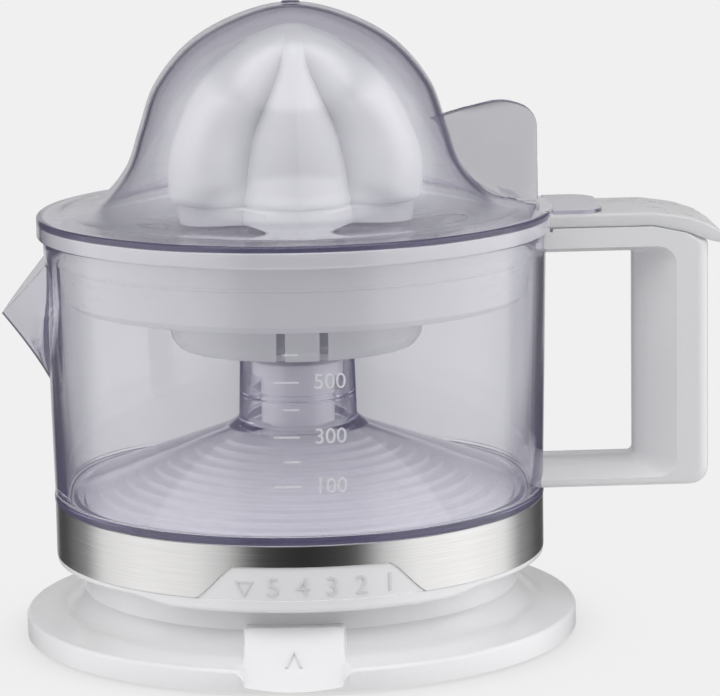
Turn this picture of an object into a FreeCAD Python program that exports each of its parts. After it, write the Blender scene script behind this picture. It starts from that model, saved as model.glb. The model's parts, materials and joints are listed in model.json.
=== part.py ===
"""Electric citrus press: motor base, turning pulp ring, clear jug, strainer, reamer cone and clear lid.

Frame: origin on the drive axis at the table plane, +Z up, the jug's handle along +X and its spout along -X,
the front of the base towards -Y. Millimetres. Azimuths are degrees from -Y towards +X.
"""
import FreeCAD, Part
import math
import os
from FreeCAD import Vector as V

# ---- driving dimensions ------------------------------------------------------------------------
# foot and drum
FOOT_R = 77.0            # foot disc at its lower edge
FOOT_EDGE_TOP = 6.8
FOOT_DRAFT = 0.9         # how far the foot's edge leans in by its top
FOOT_WALL = 2.4
FOOT_DISH = ((10.0, 0.5), (6.0, 1.6), (2.7, 3.8))      # out from the drum, and up from the foot's edge
EDGE_ROUND = 0.9
PAD_HEIGHT = 0.8         # the rubber ring lifts the foot's edge off the table
PAD_RING = (60.0, 66.0)  # inner and outer radius of the rubber ring the press stands on
NECK_R = 60.5            # drum that the pulp ring turns on
NECK_WALL = 2.4
NECK_FOOT_Z = 14.0       # where the foot's dished top meets the drum
NECK_TOP = 31.0
TAB_HALF = 13.5          # pointer tab, half width
TAB_AZIMUTH = -4.3
TAB_TOP = (64.0, 15.0)   # radius and height of the slanted face's upper edge
TAB_FOOT = (76.5, 1.6)   # and of its lower edge
HOOD_HALF = 8.5          # hood over the cord outlet at the back
HOOD_TOP = 15.2
HOOD_FACE = 75.0
HOOD_ROUND = 4.0
GLAND_Z = 9.4
GLAND_R = 4.2
GLAND_BORE_R = 3.1
PLATE_R = 73.4
PLATE_LOW = 2.0
PLATE_TOP = 4.0
POST_R = 3.6
POST_CIRCLE_R = 55.6
POST_ANGLES = (45, 165, 225, 315)
SCREW_R = 1.4
SCREW_HEAD_R = 2.4

# motor cover: the stepped cone under the jug
COVER_SLOPE = 0.395      # rise for each millimetre inwards
COVER_CROWN_R = 21.0
COVER_TOP = 53.4
COVER_STEPS = 10
COVER_WALL = 2.2
COVER_POST_R = 3.4
COVER_POST_CIRCLE_R = 50.0
COVER_POST_ANGLES = (0, 180, 270)
COLLAR_R = 8.5           # collar on the crown that guides the spindle
COLLAR_TOP = 69.0
BUSH_R = 6.9
BUSH_LENGTH = 8.0

# pulp ring
RING_R = 67.7
RING_LIP_R = 68.0
RING_WALL = 2.1
RING_BOTTOM = 21.8
RING_TOP = 38.3
RING_BORE_R = 61.0
WEB_LOW = 34.6
WEB_TOP = 36.6
GUIDE_IN_R = 62.6
GUIDE_OUT_R = 64.2
APRON_DROP = 1.7
APRON_HALF = 42.0
BAND_THICK = 0.4
BAND_BOTTOM = 23.4
BAND_TOP = 38.2
PANEL_TOP_HALF = 17.9    # white panel: half width along its top edge, degrees
PANEL_BOTTOM_HALF = 26.8
PANEL_TOP = 32.4
SETTINGS = 6             # five pulp levels and the release mark
SETTING_PITCH = 6.65     # degrees
STEP_RISE = 0.4          # how far one setting lifts the jug
FIRST_MARK = -15.4       # azimuth of the release mark
MARK_Z = 26.6
MARK_HEIGHT = 3.8
MARK_RAISE = 0.28
LUG_TOP = 30.4           # fixed lugs on the drum under the ring's stairs
LUG_GAP = 0.5
LUG_ANGLES = (60, 180, 300)
DETENT_LOW = 25.2
DETENT_TOP = 27.6
DETENT_OUT_R = 65.2
RIB_ANGLES = (0, 120, 240)
KEY_HALF = 4.0           # degrees, lugs that key the jug to the ring
KEY_ANGLES = (20, 140, 260)

# jug
JUG_R_BOTTOM = 68.05
JUG_R_TOP = 69.45
JUG_TOP = 112.3
JUG_WALL = 2.0
FLOOR_GAP = 1.25         # the jug's floor above the motor cover
FLOOR_RISE = 2.15        # floor thickness measured upright
CHIMNEY_R_BASE = 16.5
CHIMNEY_R_TOP = 15.6
CHIMNEY_WALL = 1.8
CHIMNEY_TOP = 90.3
LEDGE_R = 11.0           # ledge in the chimney that catches the drive shaft's collar
LEDGE_TOP = 67.4
LEDGE_THICK = 1.6
SPOUT_TIP_X = -81.5
SPOUT_TIP_Z = 91.0
SPOUT_TIP_HALF = 1.8
SPOUT_ROOT_X = -64.0
SPOUT_ROOT_Z = 110.8
SPOUT_ROOT_HALF = 17.0
SPOUT_FOOT_Z = 66.6
SPOUT_TOP = 105.7
SPOUT_WALL = 1.3
SPOUT_HOLLOW = (0.85, 1.3)     # the channel's shift inwards and up, in walls, which leaves its top open
LABELS = ((100, 54.2), (300, 67.5), (500, 82.1))
LABEL_AZIMUTH = 4.6
LABEL_HEIGHT = 4.4

# handle
HANDLE_OUT_X = 113.2
HANDLE_HALF = 16.0
HANDLE_BOTTOM = 40.2
HANDLE_TOP = 113.0
HANDLE_TOP_CURVE = ((98.0, 113.0), (107.1, 111.0), (113.2, 108.5))
GRIP_IN_X = 93.5         # finger side of the grip at its middle
OPENING_LOW = 47.0
OPENING_TOP = 104.8
BEVEL_X = 10.5           # how much wider the opening is at the handle's faces
BEVEL_LOW = 4.0
BEVEL_TOP = 2.7
FLAT_HALF = 5.0          # half width of the unbevelled middle
HANDLE_CORNER = 5.0
MOUNT_END_X = 77.0       # the jug's two tongues inside the handle's arms
MOUNT_HALF = 5.0
LOW_TONGUE = (43.2, 46.0)
TOP_TONGUE = (107.4, 110.2)

# strainer
STRAINER_R = 69.2
FLANGE_TOP = 114.3
STRAINER_TOP = 116.4
UPSTAND = 1.8
BOWL_R_TOP = 66.2
BOWL_R_LOW = 63.2
BOWL_LOW = 94.0
BOWL_WALL = 1.6
WELL_R_TOP = 36.5
WELL_R_LOW = 34.4
WELL_LOW = 81.1
WELL_TONGUES = 4          # tongues in the well's wall, each between two slots
WELL_TONGUE = 9.2
WELL_SLOT = 2.4
HUB_R = 18.2
HUB_TOP = 102.6
HUB_BORE_R = 6.6
TAB_THICK = 3.9          # long lifting tab that lies over the handle
TAB_FLAT_X = 98.0
TAB_END_X = 117.4
TAB_GAP = 0.3
SIEVE_EDGE = (63.2, 106.4)
SIEVE_INNER = (14.0, 102.6)
SIEVE_THICK = 1.4
SIEVE_SLOTS = 36
SIEVE_SLOT = 1.5

# drive
SHAFT_R = 10.3
SHAFT_BOTTOM = 57.1
SHAFT_BORE_R = 9.1
SHAFT_BORE_TOP = 72.0
SHAFT_COLLAR_R = 12.9
SHAFT_COLLAR = (72.5, 77.0)
STEM_AF = 10.0           # hexagonal stem across flats
STEM_TOP = 145.0
SPINDLE_R = 5.0
SPINDLE_TIP_R = 4.0
SPINDLE_AF = 8.0
SPINDLE_TOP = 76.6
SPINDLE_HEX_Z = 70.5
GEAR_AF = 10.0
GEAR_HEX = (25.9, 45.0)
SPINDLE_BOTTOM = 14.4
CUP_R = 8.4              # cup that the return spring pushes on
CUP = (23.0, 24.2)
SEAT_TOP = 16.2
SPRING_R = 6.2
SPRING_WIRE = 0.9
SPRING_TURNS = 4
FIT = 0.1                # clearance on each flat of a sliding hexagon
RUNNING = 0.06           # radial clearance of a running fit

# reamer cone: sharp ribs and broad lobes by turns
CONE_PAIRS = 3
CONE_TURN = 0.0          # azimuth of the front rib
CONE_BOTTOM = 113.2
CONE_STEP = 121.6        # the lobes end here, over the skirt
CONE_TOP = 169.2
CONE_WALL = 2.2
CONE_HUB_R = 8.2
CONE_HUB_LOW = 108.0
CONE_HUB_TOP = 162.0
VALLEY_ANGLE = 33.0      # from a rib to the flute beside it
RIB_POWER = 1.35         # how the section falls from a rib to its flutes
LOBE_POWER = 3.0         # and from a lobe, where a higher power is fuller
SKIRT_POWER = 2.2
FLUTE_ROUND = 4.8        # how widely the flutes are rounded
FLUTE_DROP = 1.4         # how far a flute's two flanks would meet below its rounded bottom
TIP_R = 3.6
SKIRT_RADII = (36.2, 35.2, 27.4)       # rib, lobe and flute
LOBES = (                # height, then the radius at a rib, a lobe and a flute
    (121.6, 36.0, 36.2, 26.4), (126.0, 35.7, 37.4, 25.6), (131.8, 34.8, 37.6, 24.4),
    (138.5, 33.0, 36.2, 22.0), (150.0, 27.4, 30.4, 17.8), (158.0, 20.2, 22.8, 14.6),
    (162.5, 14.8, 16.8, 13.2), (166.0, 10.6, 11.2, 10.2), (168.8, 3.5, 3.6, 3.4))

# lid
LID_R = 71.2
BRIM_TOP = 118.2
SKIRT_BOTTOM = 112.4
SKIRT_WALL = 1.5
LID_WALL = 1.8
BELL = ((0.0, 175.4), (13.8, 172.6), (28.0, 165.0), (38.0, 153.2), (42.3, 141.5), (46.2, 130.6),
        (53.8, 122.0), (64.0, 118.6))
FIN_HALF = 1.5
FIN = ((38.5, 143.0), (47.0, 145.2), (58.0, 146.8), (67.5, 144.4), (67.5, 118.0))
FIN_ROUND = 6.0
EAR_END_X = 84.3
EAR_HALF = 16.2
EAR_LOW = 116.9

# motor and gears
PRESSURE_ANGLE = 25.0
BACKLASH = 0.12
MODULE_FAST = 0.8
MODULE_SLOW = 1.0
PINION_TEETH = 12
WHEEL_TEETH = 40
WHEEL = (29.2, 33.6)
PINION_TOP = 40.8
OUTPUT = (35.0, 40.4)
OUTPUT_HUB_R = 8.6
OUTPUT_JOURNAL_R = 7.3
DECK = (26.0, 28.0)      # gear deck that carries the motor and the gears
DECK_R = 57.8
TOP_DECK = (41.4, 43.2)
TOP_DECK_R = 34.0
DECK_POST_R = 3.0
DECK_POST_CIRCLE_R = 30.5
DECK_POST_ANGLES = (25, 160, 270)
COMPOUND_ANGLE = 90.0    # where the compound gear stands round the drive axis, from +X
MOTOR_ANGLE = 170.4      # where the motor stands round the compound gear
MOTOR_R = 20.0
MOTOR_LOW = 5.4
CAN_WALL = 1.4
CAN_END = 1.6
BOBBIN_R = 11.4
BOBBIN_WALL = 1.4
ROTOR_R = 9.0
ROTOR_SHAFT_R = 1.6
AXLE_R = 1.5
COMPOUND_HUB_R = 3.4
SWITCH = (-26.0, -9.0, -4.0, 4.0)      # the switch's footprint
LEVER_PIVOT = (-23.0, 13.0)
BUTTON_X = -16.0

SLOW_CENTRES = MODULE_SLOW * (PINION_TEETH + WHEEL_TEETH) / 2
FAST_CENTRES = MODULE_FAST * (PINION_TEETH + WHEEL_TEETH) / 2
AXIS = V(0, 0, 1)
ORIGIN = V(0, 0, 0)


# ---- helpers -----------------------------------------------------------------------------------
def polar(radius, degrees, z=0.0):
    a = math.radians(degrees)
    return V(radius * math.cos(a), radius * math.sin(a), z)


def rod(radius, low, high, at=ORIGIN):
    return Part.makeCylinder(radius, high - low, V(at.x, at.y, low))


def tube(inner, outer, low, high, at=ORIGIN):
    return rod(outer, low, high, at).cut(rod(inner, low - 1, high + 1, at))


def box(x0, x1, y0, y1, z0, z1):
    return Part.makeBox(x1 - x0, y1 - y0, z1 - z0, V(x0, y0, z0))


def turned(points):
    """A solid of revolution from a closed outline of (radius, height) points."""
    corners = [V(r, 0, z) for r, z in points]
    return Part.Face(Part.makePolygon(corners + [corners[0]])).revolve(ORIGIN, AXIS, 360)


def slab(points, half):
    """An outline of (x, z) points extruded to both sides of the plane y = 0."""
    corners = [V(x, -half, z) for x, z in points]
    return Part.Face(Part.makePolygon(corners + [corners[0]])).extrude(V(0, 2 * half, 0))


def sector(inner, outer, low, high, start, end):
    """Part of a ring between two azimuths."""
    block = Part.makeCylinder(outer, high - low, V(0, 0, low), AXIS, end - start)
    block = block.cut(rod(inner, low - 1, high + 1))
    block.rotate(ORIGIN, AXIS, start - 90.0)
    return block


def hexagon(across_flats, low, high):
    corners = [polar(across_flats / math.sqrt(3), 60 * i, low) for i in range(7)]
    return Part.Face(Part.makePolygon(corners)).extrude(V(0, 0, high - low))


def turn(shape, degrees):
    copy = shape.copy()
    copy.rotate(ORIGIN, AXIS, degrees)
    return copy


def around(shape, angles):
    return [turn(shape, a) for a in angles]


def even(count, start=0.0):
    return [start + 360.0 * i / count for i in range(count)]


def joined(shapes):
    return shapes[0].multiFuse(list(shapes[1:])) if len(shapes) > 1 else shapes[0]


def export(name, shape):
    solids = shape.Solids
    if not solids or not all(s.isValid() for s in solids):
        raise RuntimeError("bad solid: " + name)
    whole = solids[0] if len(solids) == 1 else Part.makeCompound(solids)
    whole.exportStep(os.path.join("parts", name + ".step"))
    print(name, "solids", len(solids), "volume", round(whole.Volume, 1))


# ---- shared surfaces ---------------------------------------------------------------------------
def cover_z(radius):
    """Height of the motor cover's outer edge line."""
    return COVER_TOP - COVER_SLOPE * (radius - COVER_CROWN_R)


def jug_r(z):
    return JUG_R_BOTTOM + (JUG_R_TOP - JUG_R_BOTTOM) * (z - RING_TOP) / (JUG_TOP - RING_TOP)


def jug_body(extra=0.0):
    """The jug's outside as a plain solid, grown by extra."""
    return turned([(0, RING_TOP), (jug_r(RING_TOP) + extra, RING_TOP), (jug_r(JUG_TOP) + extra, JUG_TOP),
                   (0, JUG_TOP)])


def compound_centre():
    return polar(SLOW_CENTRES, COMPOUND_ANGLE)


def motor_centre():
    return compound_centre() + polar(FAST_CENTRES, MOTOR_ANGLE)


# ---- raised marks ------------------------------------------------------------------------------
SEGMENTS = {1: "bc", 2: "abged", 3: "abgcd", 4: "fgbc", 5: "afgcd", 0: "abcdef"}


def digit(value, height):
    """Bars of a numeral in the x, z plane, centred on the origin, extruded towards -Y."""
    half_w, half_h, bar = height * 0.27, height * 0.5, height * 0.15
    spots = {
        "a": (-half_w, half_w, half_h - bar, half_h), "g": (-half_w, half_w, -bar / 2, bar / 2),
        "d": (-half_w, half_w, -half_h, bar - half_h), "b": (half_w - bar, half_w, 0, half_h),
        "c": (half_w - bar, half_w, -half_h, 0), "f": (-half_w, bar - half_w, 0, half_h),
        "e": (-half_w, bar - half_w, -half_h, 0)}
    bars = [box(x0, x1, -90, -50, z0, z1) for x0, x1, z0, z1 in (spots[s] for s in SEGMENTS[value])]
    return joined(bars)


def placed_mark(shape, azimuth, z):
    shape.translate(V(0, 0, z))
    return turn(shape, azimuth)


def arrow(height, direction):
    """An open arrowhead of two bars, pointing up or down."""
    h, w, bar = height / 2 * direction, height * 0.62, height * 0.3 * direction
    outline = [(-w, -h), (0, h), (w, -h), (w, -h - bar), (0, h - bar), (-w, -h - bar)]
    mark = slab(outline, 20)
    mark.translate(V(0, -70, 0))
    return mark


# ---- base --------------------------------------------------------------------------------------
def tab_prism(low_outline):
    block = slab(low_outline, TAB_HALF)
    return turn(block, 270.0 + TAB_AZIMUTH)


def foot():
    top_r = FOOT_R - FOOT_DRAFT
    dish = [(NECK_R + out, FOOT_EDGE_TOP + rise) for out, rise in FOOT_DISH]
    outer = [(0, PAD_HEIGHT), (FOOT_R, PAD_HEIGHT), (top_r, FOOT_EDGE_TOP - EDGE_ROUND),
             (top_r - EDGE_ROUND, FOOT_EDGE_TOP)] + dish
    outer += [(NECK_R, NECK_FOOT_Z), (NECK_R, NECK_TOP), (0, NECK_TOP)]
    inner_r = NECK_R - NECK_WALL
    under = FOOT_EDGE_TOP - FOOT_WALL
    inner = [(0, 0), (FOOT_R - FOOT_WALL, 0), (top_r - FOOT_WALL, under), (68.0, under + 0.4),
             (inner_r, NECK_FOOT_Z - 3.0), (inner_r, NECK_TOP + 1), (0, NECK_TOP + 1)]
    wedge = tab_prism([(NECK_R - 1, PLATE_TOP), (NECK_R - 1, TAB_TOP[1]), TAB_TOP,
                       (TAB_FOOT[0] - 2.3, PLATE_TOP)])
    off = tab_prism([TAB_TOP, (TAB_TOP[0], 30), (90, 30), (90, TAB_FOOT[1]), TAB_FOOT])
    hood = box(-HOOD_HALF, HOOD_HALF, NECK_R - 1.5, HOOD_FACE, PLATE_TOP, HOOD_TOP)
    shoulders = [e for e in hood.Edges if e.BoundBox.ZMin > HOOD_TOP - 0.01 and e.BoundBox.YLength > 1]
    face_edge = [e for e in hood.Edges if e.BoundBox.ZMin > HOOD_TOP - 0.01
                 and e.BoundBox.YMin > HOOD_FACE - 0.01]
    hood = hood.makeFillet(HOOD_ROUND, shoulders + face_edge)
    shell = turned(outer).cut(turned(inner))
    wedge = wedge.cut(rod(inner_r, 0, 40))
    hood = hood.cut(rod(inner_r, 0, 40))
    shell = shell.fuse(wedge).cut(off).fuse(hood)
    outlet = Part.makeCylinder(GLAND_R, FOOT_R, V(0, 40, GLAND_Z), V(0, 1, 0))
    recess = Part.makeCylinder(GLAND_R + 1.6, 9.0, V(0, HOOD_FACE, GLAND_Z), V(0, 1, 0))
    shell = shell.cut(outlet).cut(recess)
    # columns for the bottom plate's screws and for the gear deck
    for a in POST_ANGLES:
        column = rod(POST_R, PLATE_TOP, DECK[0], polar(POST_CIRCLE_R, a))
        shell = shell.fuse(column.common(rod(NECK_R - 0.5, 0, 40)))
        shell = shell.cut(rod(SCREW_R, PLATE_TOP - 1, PLATE_TOP + 11, polar(POST_CIRCLE_R, a)))
        shell = shell.cut(rod(SCREW_R, DECK[0] - 9, DECK[0] + 1, polar(POST_CIRCLE_R, a)))
    lugs = [sector(NECK_R - 1, NECK_R + 1.6, LUG_TOP - 1.8, LUG_TOP, a - 1.5, a + 1.5) for a in LUG_ANGLES]
    rib = box(-1.2, 1.2, -(NECK_R + 1.3), -(NECK_R - 1), DETENT_LOW - 2.0, DETENT_TOP + 0.8)
    return shell.multiFuse(lugs + around(rib, RIB_ANGLES)).removeSplitter()


def foot_pointer():
    """The raised arrowhead on the pointer tab's slanted face."""
    (r0, z0), (r1, z1) = TAB_TOP, TAB_FOOT
    length = math.hypot(r1 - r0, z1 - z0)
    mark = slab([(-3.0, -1.7), (0, 1.7), (3.0, -1.7), (3.0, -3.0), (0, 0.4), (-3.0, -3.0)], MARK_RAISE / 2)
    mark.translate(V(0, -MARK_RAISE / 2, length / 2 + 1.0))
    lean = math.degrees(math.atan2(r1 - r0, z0 - z1))
    mark.rotate(ORIGIN, V(1, 0, 0), -lean)
    mark.translate(V(0, -r1, z1))
    return turn(mark, TAB_AZIMUTH)


def motor_cover():
    pitch = (NECK_R - COVER_CROWN_R) / COVER_STEPS
    rise = pitch * COVER_SLOPE
    edges = [NECK_R - k * pitch for k in range(COVER_STEPS + 1)]
    outline = [(NECK_R, NECK_TOP)]
    for outer, inner in zip(edges, edges[1:]):
        outline += [(outer, cover_z(outer)), (inner, cover_z(outer))]
    bush_low, guide_r = COLLAR_TOP - BUSH_LENGTH, BUSH_R - 1.2
    outline += [(COVER_CROWN_R, COVER_TOP), (COLLAR_R, COVER_TOP), (COLLAR_R, COLLAR_TOP),
                (BUSH_R, COLLAR_TOP), (BUSH_R, bush_low), (guide_r, bush_low),
                (guide_r, COVER_TOP - COVER_WALL)]
    wall_r = NECK_R - NECK_WALL
    under = rise + COVER_WALL
    outline += [(COVER_CROWN_R, COVER_TOP - COVER_WALL - 0.6), (wall_r, cover_z(wall_r) - under),
                (wall_r, NECK_TOP)]
    cover = turned(outline)
    for a in COVER_POST_ANGLES:
        at = polar(COVER_POST_CIRCLE_R, a)
        post = rod(COVER_POST_R, DECK[1], cover_z(COVER_POST_CIRCLE_R) - rise - 1.0, at)
        post = post.cut(rod(SCREW_R, DECK[1] - 1, DECK[1] + 6, at))
        cover = cover.fuse(post)
    return cover.removeSplitter()


def bottom_plate():
    plate = rod(PLATE_R, PLATE_LOW, PLATE_TOP)
    for a in POST_ANGLES:
        plate = plate.cut(rod(SCREW_R, 0, 9, polar(POST_CIRCLE_R, a)))
        plate = plate.cut(rod(SCREW_HEAD_R, 0, PLATE_LOW + 1.0, polar(POST_CIRCLE_R, a)))
    for a in even(8):
        plate = plate.cut(turn(box(24, 46, -1.2, 1.2, 0, 9), a + 22.5))
    return plate


def rubber_ring():
    return tube(*PAD_RING, 0, PLATE_LOW)


def screw(at, head_low, head_high, tip):
    """A screw with a plain head; its shank runs from the head to the tip."""
    shank = rod(SCREW_R, min(head_low, tip), max(head_high, tip), at)
    return rod(SCREW_HEAD_R, head_low, head_high, at).fuse(shank)


def plate_screws():
    spots = [polar(POST_CIRCLE_R, a) for a in POST_ANGLES]
    return Part.makeCompound([screw(p, PLATE_LOW, PLATE_LOW + 1.0, PLATE_TOP + 11) for p in spots])


def deck_screws():
    tops = [screw(polar(POST_CIRCLE_R, a), DECK[1], DECK[1] + 1.4, DECK[0] - 9) for a in POST_ANGLES]
    unders = [screw(polar(COVER_POST_CIRCLE_R, a), DECK[0] - 1.6, DECK[0], DECK[1] + 6)
              for a in COVER_POST_ANGLES]
    return Part.makeCompound(tops + unders)


def gear_deck():
    deck = rod(DECK_R, *DECK)
    for a in POST_ANGLES:
        deck = deck.cut(rod(SCREW_R, 0, 50, polar(POST_CIRCLE_R, a)))
    for a in COVER_POST_ANGLES:
        deck = deck.cut(rod(SCREW_R, 0, 50, polar(COVER_POST_CIRCLE_R, a)))
    deck = deck.cut(rod(OUTPUT_JOURNAL_R + RUNNING, 0, 50))
    deck = deck.cut(rod(6.2, 0, 50, motor_centre())).cut(rod(AXLE_R, 0, 50, compound_centre()))
    posts = [rod(DECK_POST_R, DECK[1], TOP_DECK[0], polar(DECK_POST_CIRCLE_R, a)) for a in DECK_POST_ANGLES]
    return deck.multiFuse(posts).removeSplitter()


def top_deck():
    deck = rod(TOP_DECK_R, *TOP_DECK).cut(rod(OUTPUT_HUB_R + RUNNING, 0, 50))
    return deck.cut(rod(AXLE_R, 0, 50, compound_centre()))


def spindle_bush():
    return tube(SPINDLE_R + RUNNING, BUSH_R, COLLAR_TOP - BUSH_LENGTH, COLLAR_TOP)


def motor_can():
    at = motor_centre()
    can = tube(MOTOR_R - CAN_WALL, MOTOR_R, MOTOR_LOW, DECK[0], at)
    ends = [tube(ROTOR_SHAFT_R + RUNNING, MOTOR_R - 1.0, MOTOR_LOW, MOTOR_LOW + CAN_END, at),
            tube(ROTOR_SHAFT_R + RUNNING, MOTOR_R - 1.0, DECK[0] - CAN_END, DECK[0], at)]
    lug = tube(MOTOR_R - 1.0, MOTOR_R + 2.0, DECK[0] - CAN_END, DECK[0], at)
    return can.multiFuse(ends + [lug]).removeSplitter()


def motor_coil():
    at = motor_centre()
    low, high = MOTOR_LOW + CAN_END, DECK[0] - CAN_END
    inside = MOTOR_R - CAN_WALL
    flange_low, flange_high = low + BOBBIN_WALL, high - BOBBIN_WALL
    poles = [tube(ROTOR_R + 0.9, BOBBIN_R, low + 3, high - 3, at)]
    bobbin = [tube(BOBBIN_R, inside, low, flange_low, at), tube(BOBBIN_R, inside, flange_high, high, at),
              tube(BOBBIN_R, BOBBIN_R + CAN_END, low, high, at),
              tube(BOBBIN_R + CAN_END, inside - 1.2, flange_low, flange_high, at)]
    return joined(bobbin + poles).removeSplitter()


def compound_axle():
    return rod(AXLE_R, DECK[0], TOP_DECK[1], compound_centre())


def cord_gland():
    sleeve = Part.makeCylinder(GLAND_R, 9.0, V(0, HOOD_FACE - 8.0, GLAND_Z), V(0, 1, 0))
    collar = Part.makeCylinder(GLAND_R + 1.3, 1.5, V(0, HOOD_FACE, GLAND_Z), V(0, 1, 0))
    bore = Part.makeCylinder(GLAND_BORE_R, 30, V(0, HOOD_FACE - 12, GLAND_Z), V(0, 1, 0))
    return sleeve.fuse(collar).cut(bore).removeSplitter()


def spring_seat():
    ring = tube(SPINDLE_TIP_R + 0.6, CUP_R, SEAT_TOP - 1.6, SEAT_TOP)
    legs = [box(-3, 3, CUP_R - 1.6, CUP_R - 0.1, PLATE_TOP, SEAT_TOP - 1.0)]
    legs.append(turn(legs[0], 180))
    return joined([ring] + legs).removeSplitter()


def return_spring():
    low, high = SEAT_TOP + SPRING_WIRE / 2, CUP[0] - SPRING_WIRE / 2
    helix = Part.makeHelix((high - low) / SPRING_TURNS, high - low, SPRING_R)
    helix.translate(V(0, 0, low))
    # an eight-sided section with the round wire's area
    reach = SPRING_WIRE / 2 * math.sqrt(math.pi / (2 * math.sqrt(2)))
    corners = [V(SPRING_R + reach * math.cos(a), 0, low + reach * math.sin(a))
               for a in [math.radians(step) for step in even(8, 22.5)]]
    profile = Part.makePolygon(corners + [corners[0]])
    return Part.Wire(helix.Edges).makePipeShell([profile], True, True)


def switch_body():
    x0, x1, y0, y1 = SWITCH
    body = box(x0, x1, y0, y1, PLATE_TOP, 11.4)
    body = body.cut(rod(1.3, 8.0, 12, V(BUTTON_X, 0, 0)))
    cheeks = [box(x0, x0 + 5.5, y0, y0 + 1.2, 11.0, 14.4), box(x0, x0 + 5.5, y1 - 1.2, y1, 11.0, 14.4)]
    return joined([body] + cheeks).removeSplitter()


def switch_lever():
    x, z = LEVER_PIVOT
    pin = Part.makeCylinder(0.9, 5.4, V(x, -2.7, z), V(0, 1, 0))
    return pin.fuse(box(x, 3.4, -2.4, 2.4, z + 0.3, z + 0.9)).removeSplitter()


def switch_button():
    return rod(1.2, 9.4, LEVER_PIVOT[1] + 0.1, V(BUTTON_X, 0, 0))


def terminal_block():
    block = box(20, 38, -30, -20, PLATE_TOP, 13.0)
    for x in (24.5, 33.5):
        block = block.cut(rod(1.8, 9.5, 14, V(x, -25, 0)))
        block = block.cut(Part.makeCylinder(1.5, 20, V(x, -35, 7.4), V(0, 1, 0)))
    return block


def terminal_screws():
    return Part.makeCompound([rod(1.7, 9.5, 12.0, V(x, -25, 0)) for x in (24.5, 33.5)])


# ---- gears -------------------------------------------------------------------------------------
def involute(base, radius):
    t = math.sqrt(max(0.0, (radius / base) ** 2 - 1))
    return t - math.atan(t)


def gear(module, teeth, low, high, phase):
    """A spur gear with involute flanks; one tooth points along the phase, degrees from +X."""
    pitch_r = module * teeth / 2
    base = pitch_r * math.cos(math.radians(PRESSURE_ANGLE))
    tip, root = pitch_r + 0.95 * module, pitch_r - 1.25 * module
    half = math.pi / (2 * teeth) - BACKLASH / (2 * pitch_r)
    start = max(base, root + 0.05)
    radii = [start + (tip - start) * i / 5 for i in range(6)]
    flank = [(r, half + involute(base, pitch_r) - involute(base, max(r, base))) for r in radii]
    points = []
    for k in range(teeth):
        centre = math.radians(phase) + 2 * math.pi * k / teeth
        side = [(root, flank[0][1])] + flank
        points += [(r, centre - a) for r, a in side] + [(r, centre + a) for r, a in reversed(side)]
    corners = [V(r * math.cos(a), r * math.sin(a), low) for r, a in points]
    return Part.Face(Part.makePolygon(corners + [corners[0]])).extrude(V(0, 0, high - low))


def output_gear():
    wheel = gear(MODULE_SLOW, WHEEL_TEETH, OUTPUT[0], OUTPUT[1], COMPOUND_ANGLE)
    hub = rod(OUTPUT_HUB_R, DECK[1] + 0.05, TOP_DECK[1] - 0.2)
    journal = rod(OUTPUT_JOURNAL_R, DECK[0] + 0.2, DECK[1] + 0.1)
    body = joined([wheel, hub, journal]).cut(hexagon(GEAR_AF + 2 * FIT, 20, 60))
    return body.removeSplitter()


def compound_gear():
    wheel = gear(MODULE_FAST, WHEEL_TEETH, WHEEL[0], WHEEL[1], MOTOR_ANGLE)
    pinion = gear(MODULE_SLOW, PINION_TEETH, WHEEL[1] - 0.1, PINION_TOP,
                  COMPOUND_ANGLE + 180.0 + 180.0 / PINION_TEETH)
    hub = rod(COMPOUND_HUB_R, DECK[1] + 0.1, WHEEL[0] + 0.1)
    body = joined([wheel, pinion, hub]).cut(rod(AXLE_R + RUNNING, 0, 60))
    body.translate(compound_centre())
    return body.removeSplitter()


def motor_pinion():
    pinion = gear(MODULE_FAST, PINION_TEETH, WHEEL[0] - 0.2, WHEEL[1] + 0.2,
                  MOTOR_ANGLE + 180.0 + 180.0 / PINION_TEETH)
    pinion = pinion.cut(rod(ROTOR_SHAFT_R, 0, 60))
    pinion.translate(motor_centre())
    return pinion


def motor_rotor():
    shaft = rod(ROTOR_SHAFT_R, MOTOR_LOW + 0.2, WHEEL[1] + 0.6)
    magnet = rod(ROTOR_R, MOTOR_LOW + 4.0, DECK[0] - 4.0)
    rotor = shaft.fuse(magnet)
    rotor.translate(motor_centre())
    return rotor.removeSplitter()


# ---- spindle, shaft and cone -------------------------------------------------------------------
def spindle():
    parts = [rod(SPINDLE_TIP_R, SPINDLE_BOTTOM + 1.2, GEAR_HEX[0]), hexagon(GEAR_AF, *GEAR_HEX),
             rod(SPINDLE_R, GEAR_HEX[1], SPINDLE_HEX_Z), hexagon(SPINDLE_AF, SPINDLE_HEX_Z, SPINDLE_TOP),
             Part.makeCone(1.2, SPINDLE_TIP_R, 1.2, V(0, 0, SPINDLE_BOTTOM))]
    return joined(parts).removeSplitter()


def spring_cup():
    return tube(SPINDLE_TIP_R, CUP_R, CUP[0], CUP[1])


def drive_shaft():
    low, high = SHAFT_COLLAR
    outline = [(SHAFT_BORE_R, SHAFT_BOTTOM), (SHAFT_R, SHAFT_BOTTOM), (SHAFT_R, low), (SHAFT_COLLAR_R, low),
               (SHAFT_COLLAR_R, high - 0.8), (SHAFT_COLLAR_R - 1.4, high), (0, high), (0, SHAFT_BORE_TOP),
               (SHAFT_BORE_R, SHAFT_BORE_TOP)]
    body = turned(outline).fuse(hexagon(STEM_AF, high - 0.5, STEM_TOP))
    # the shaft's socket stands on the spindle's hexagon
    return body.cut(hexagon(SPINDLE_AF + 2 * FIT, SHAFT_BORE_TOP - 3, SPINDLE_TOP)).removeSplitter()


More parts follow.
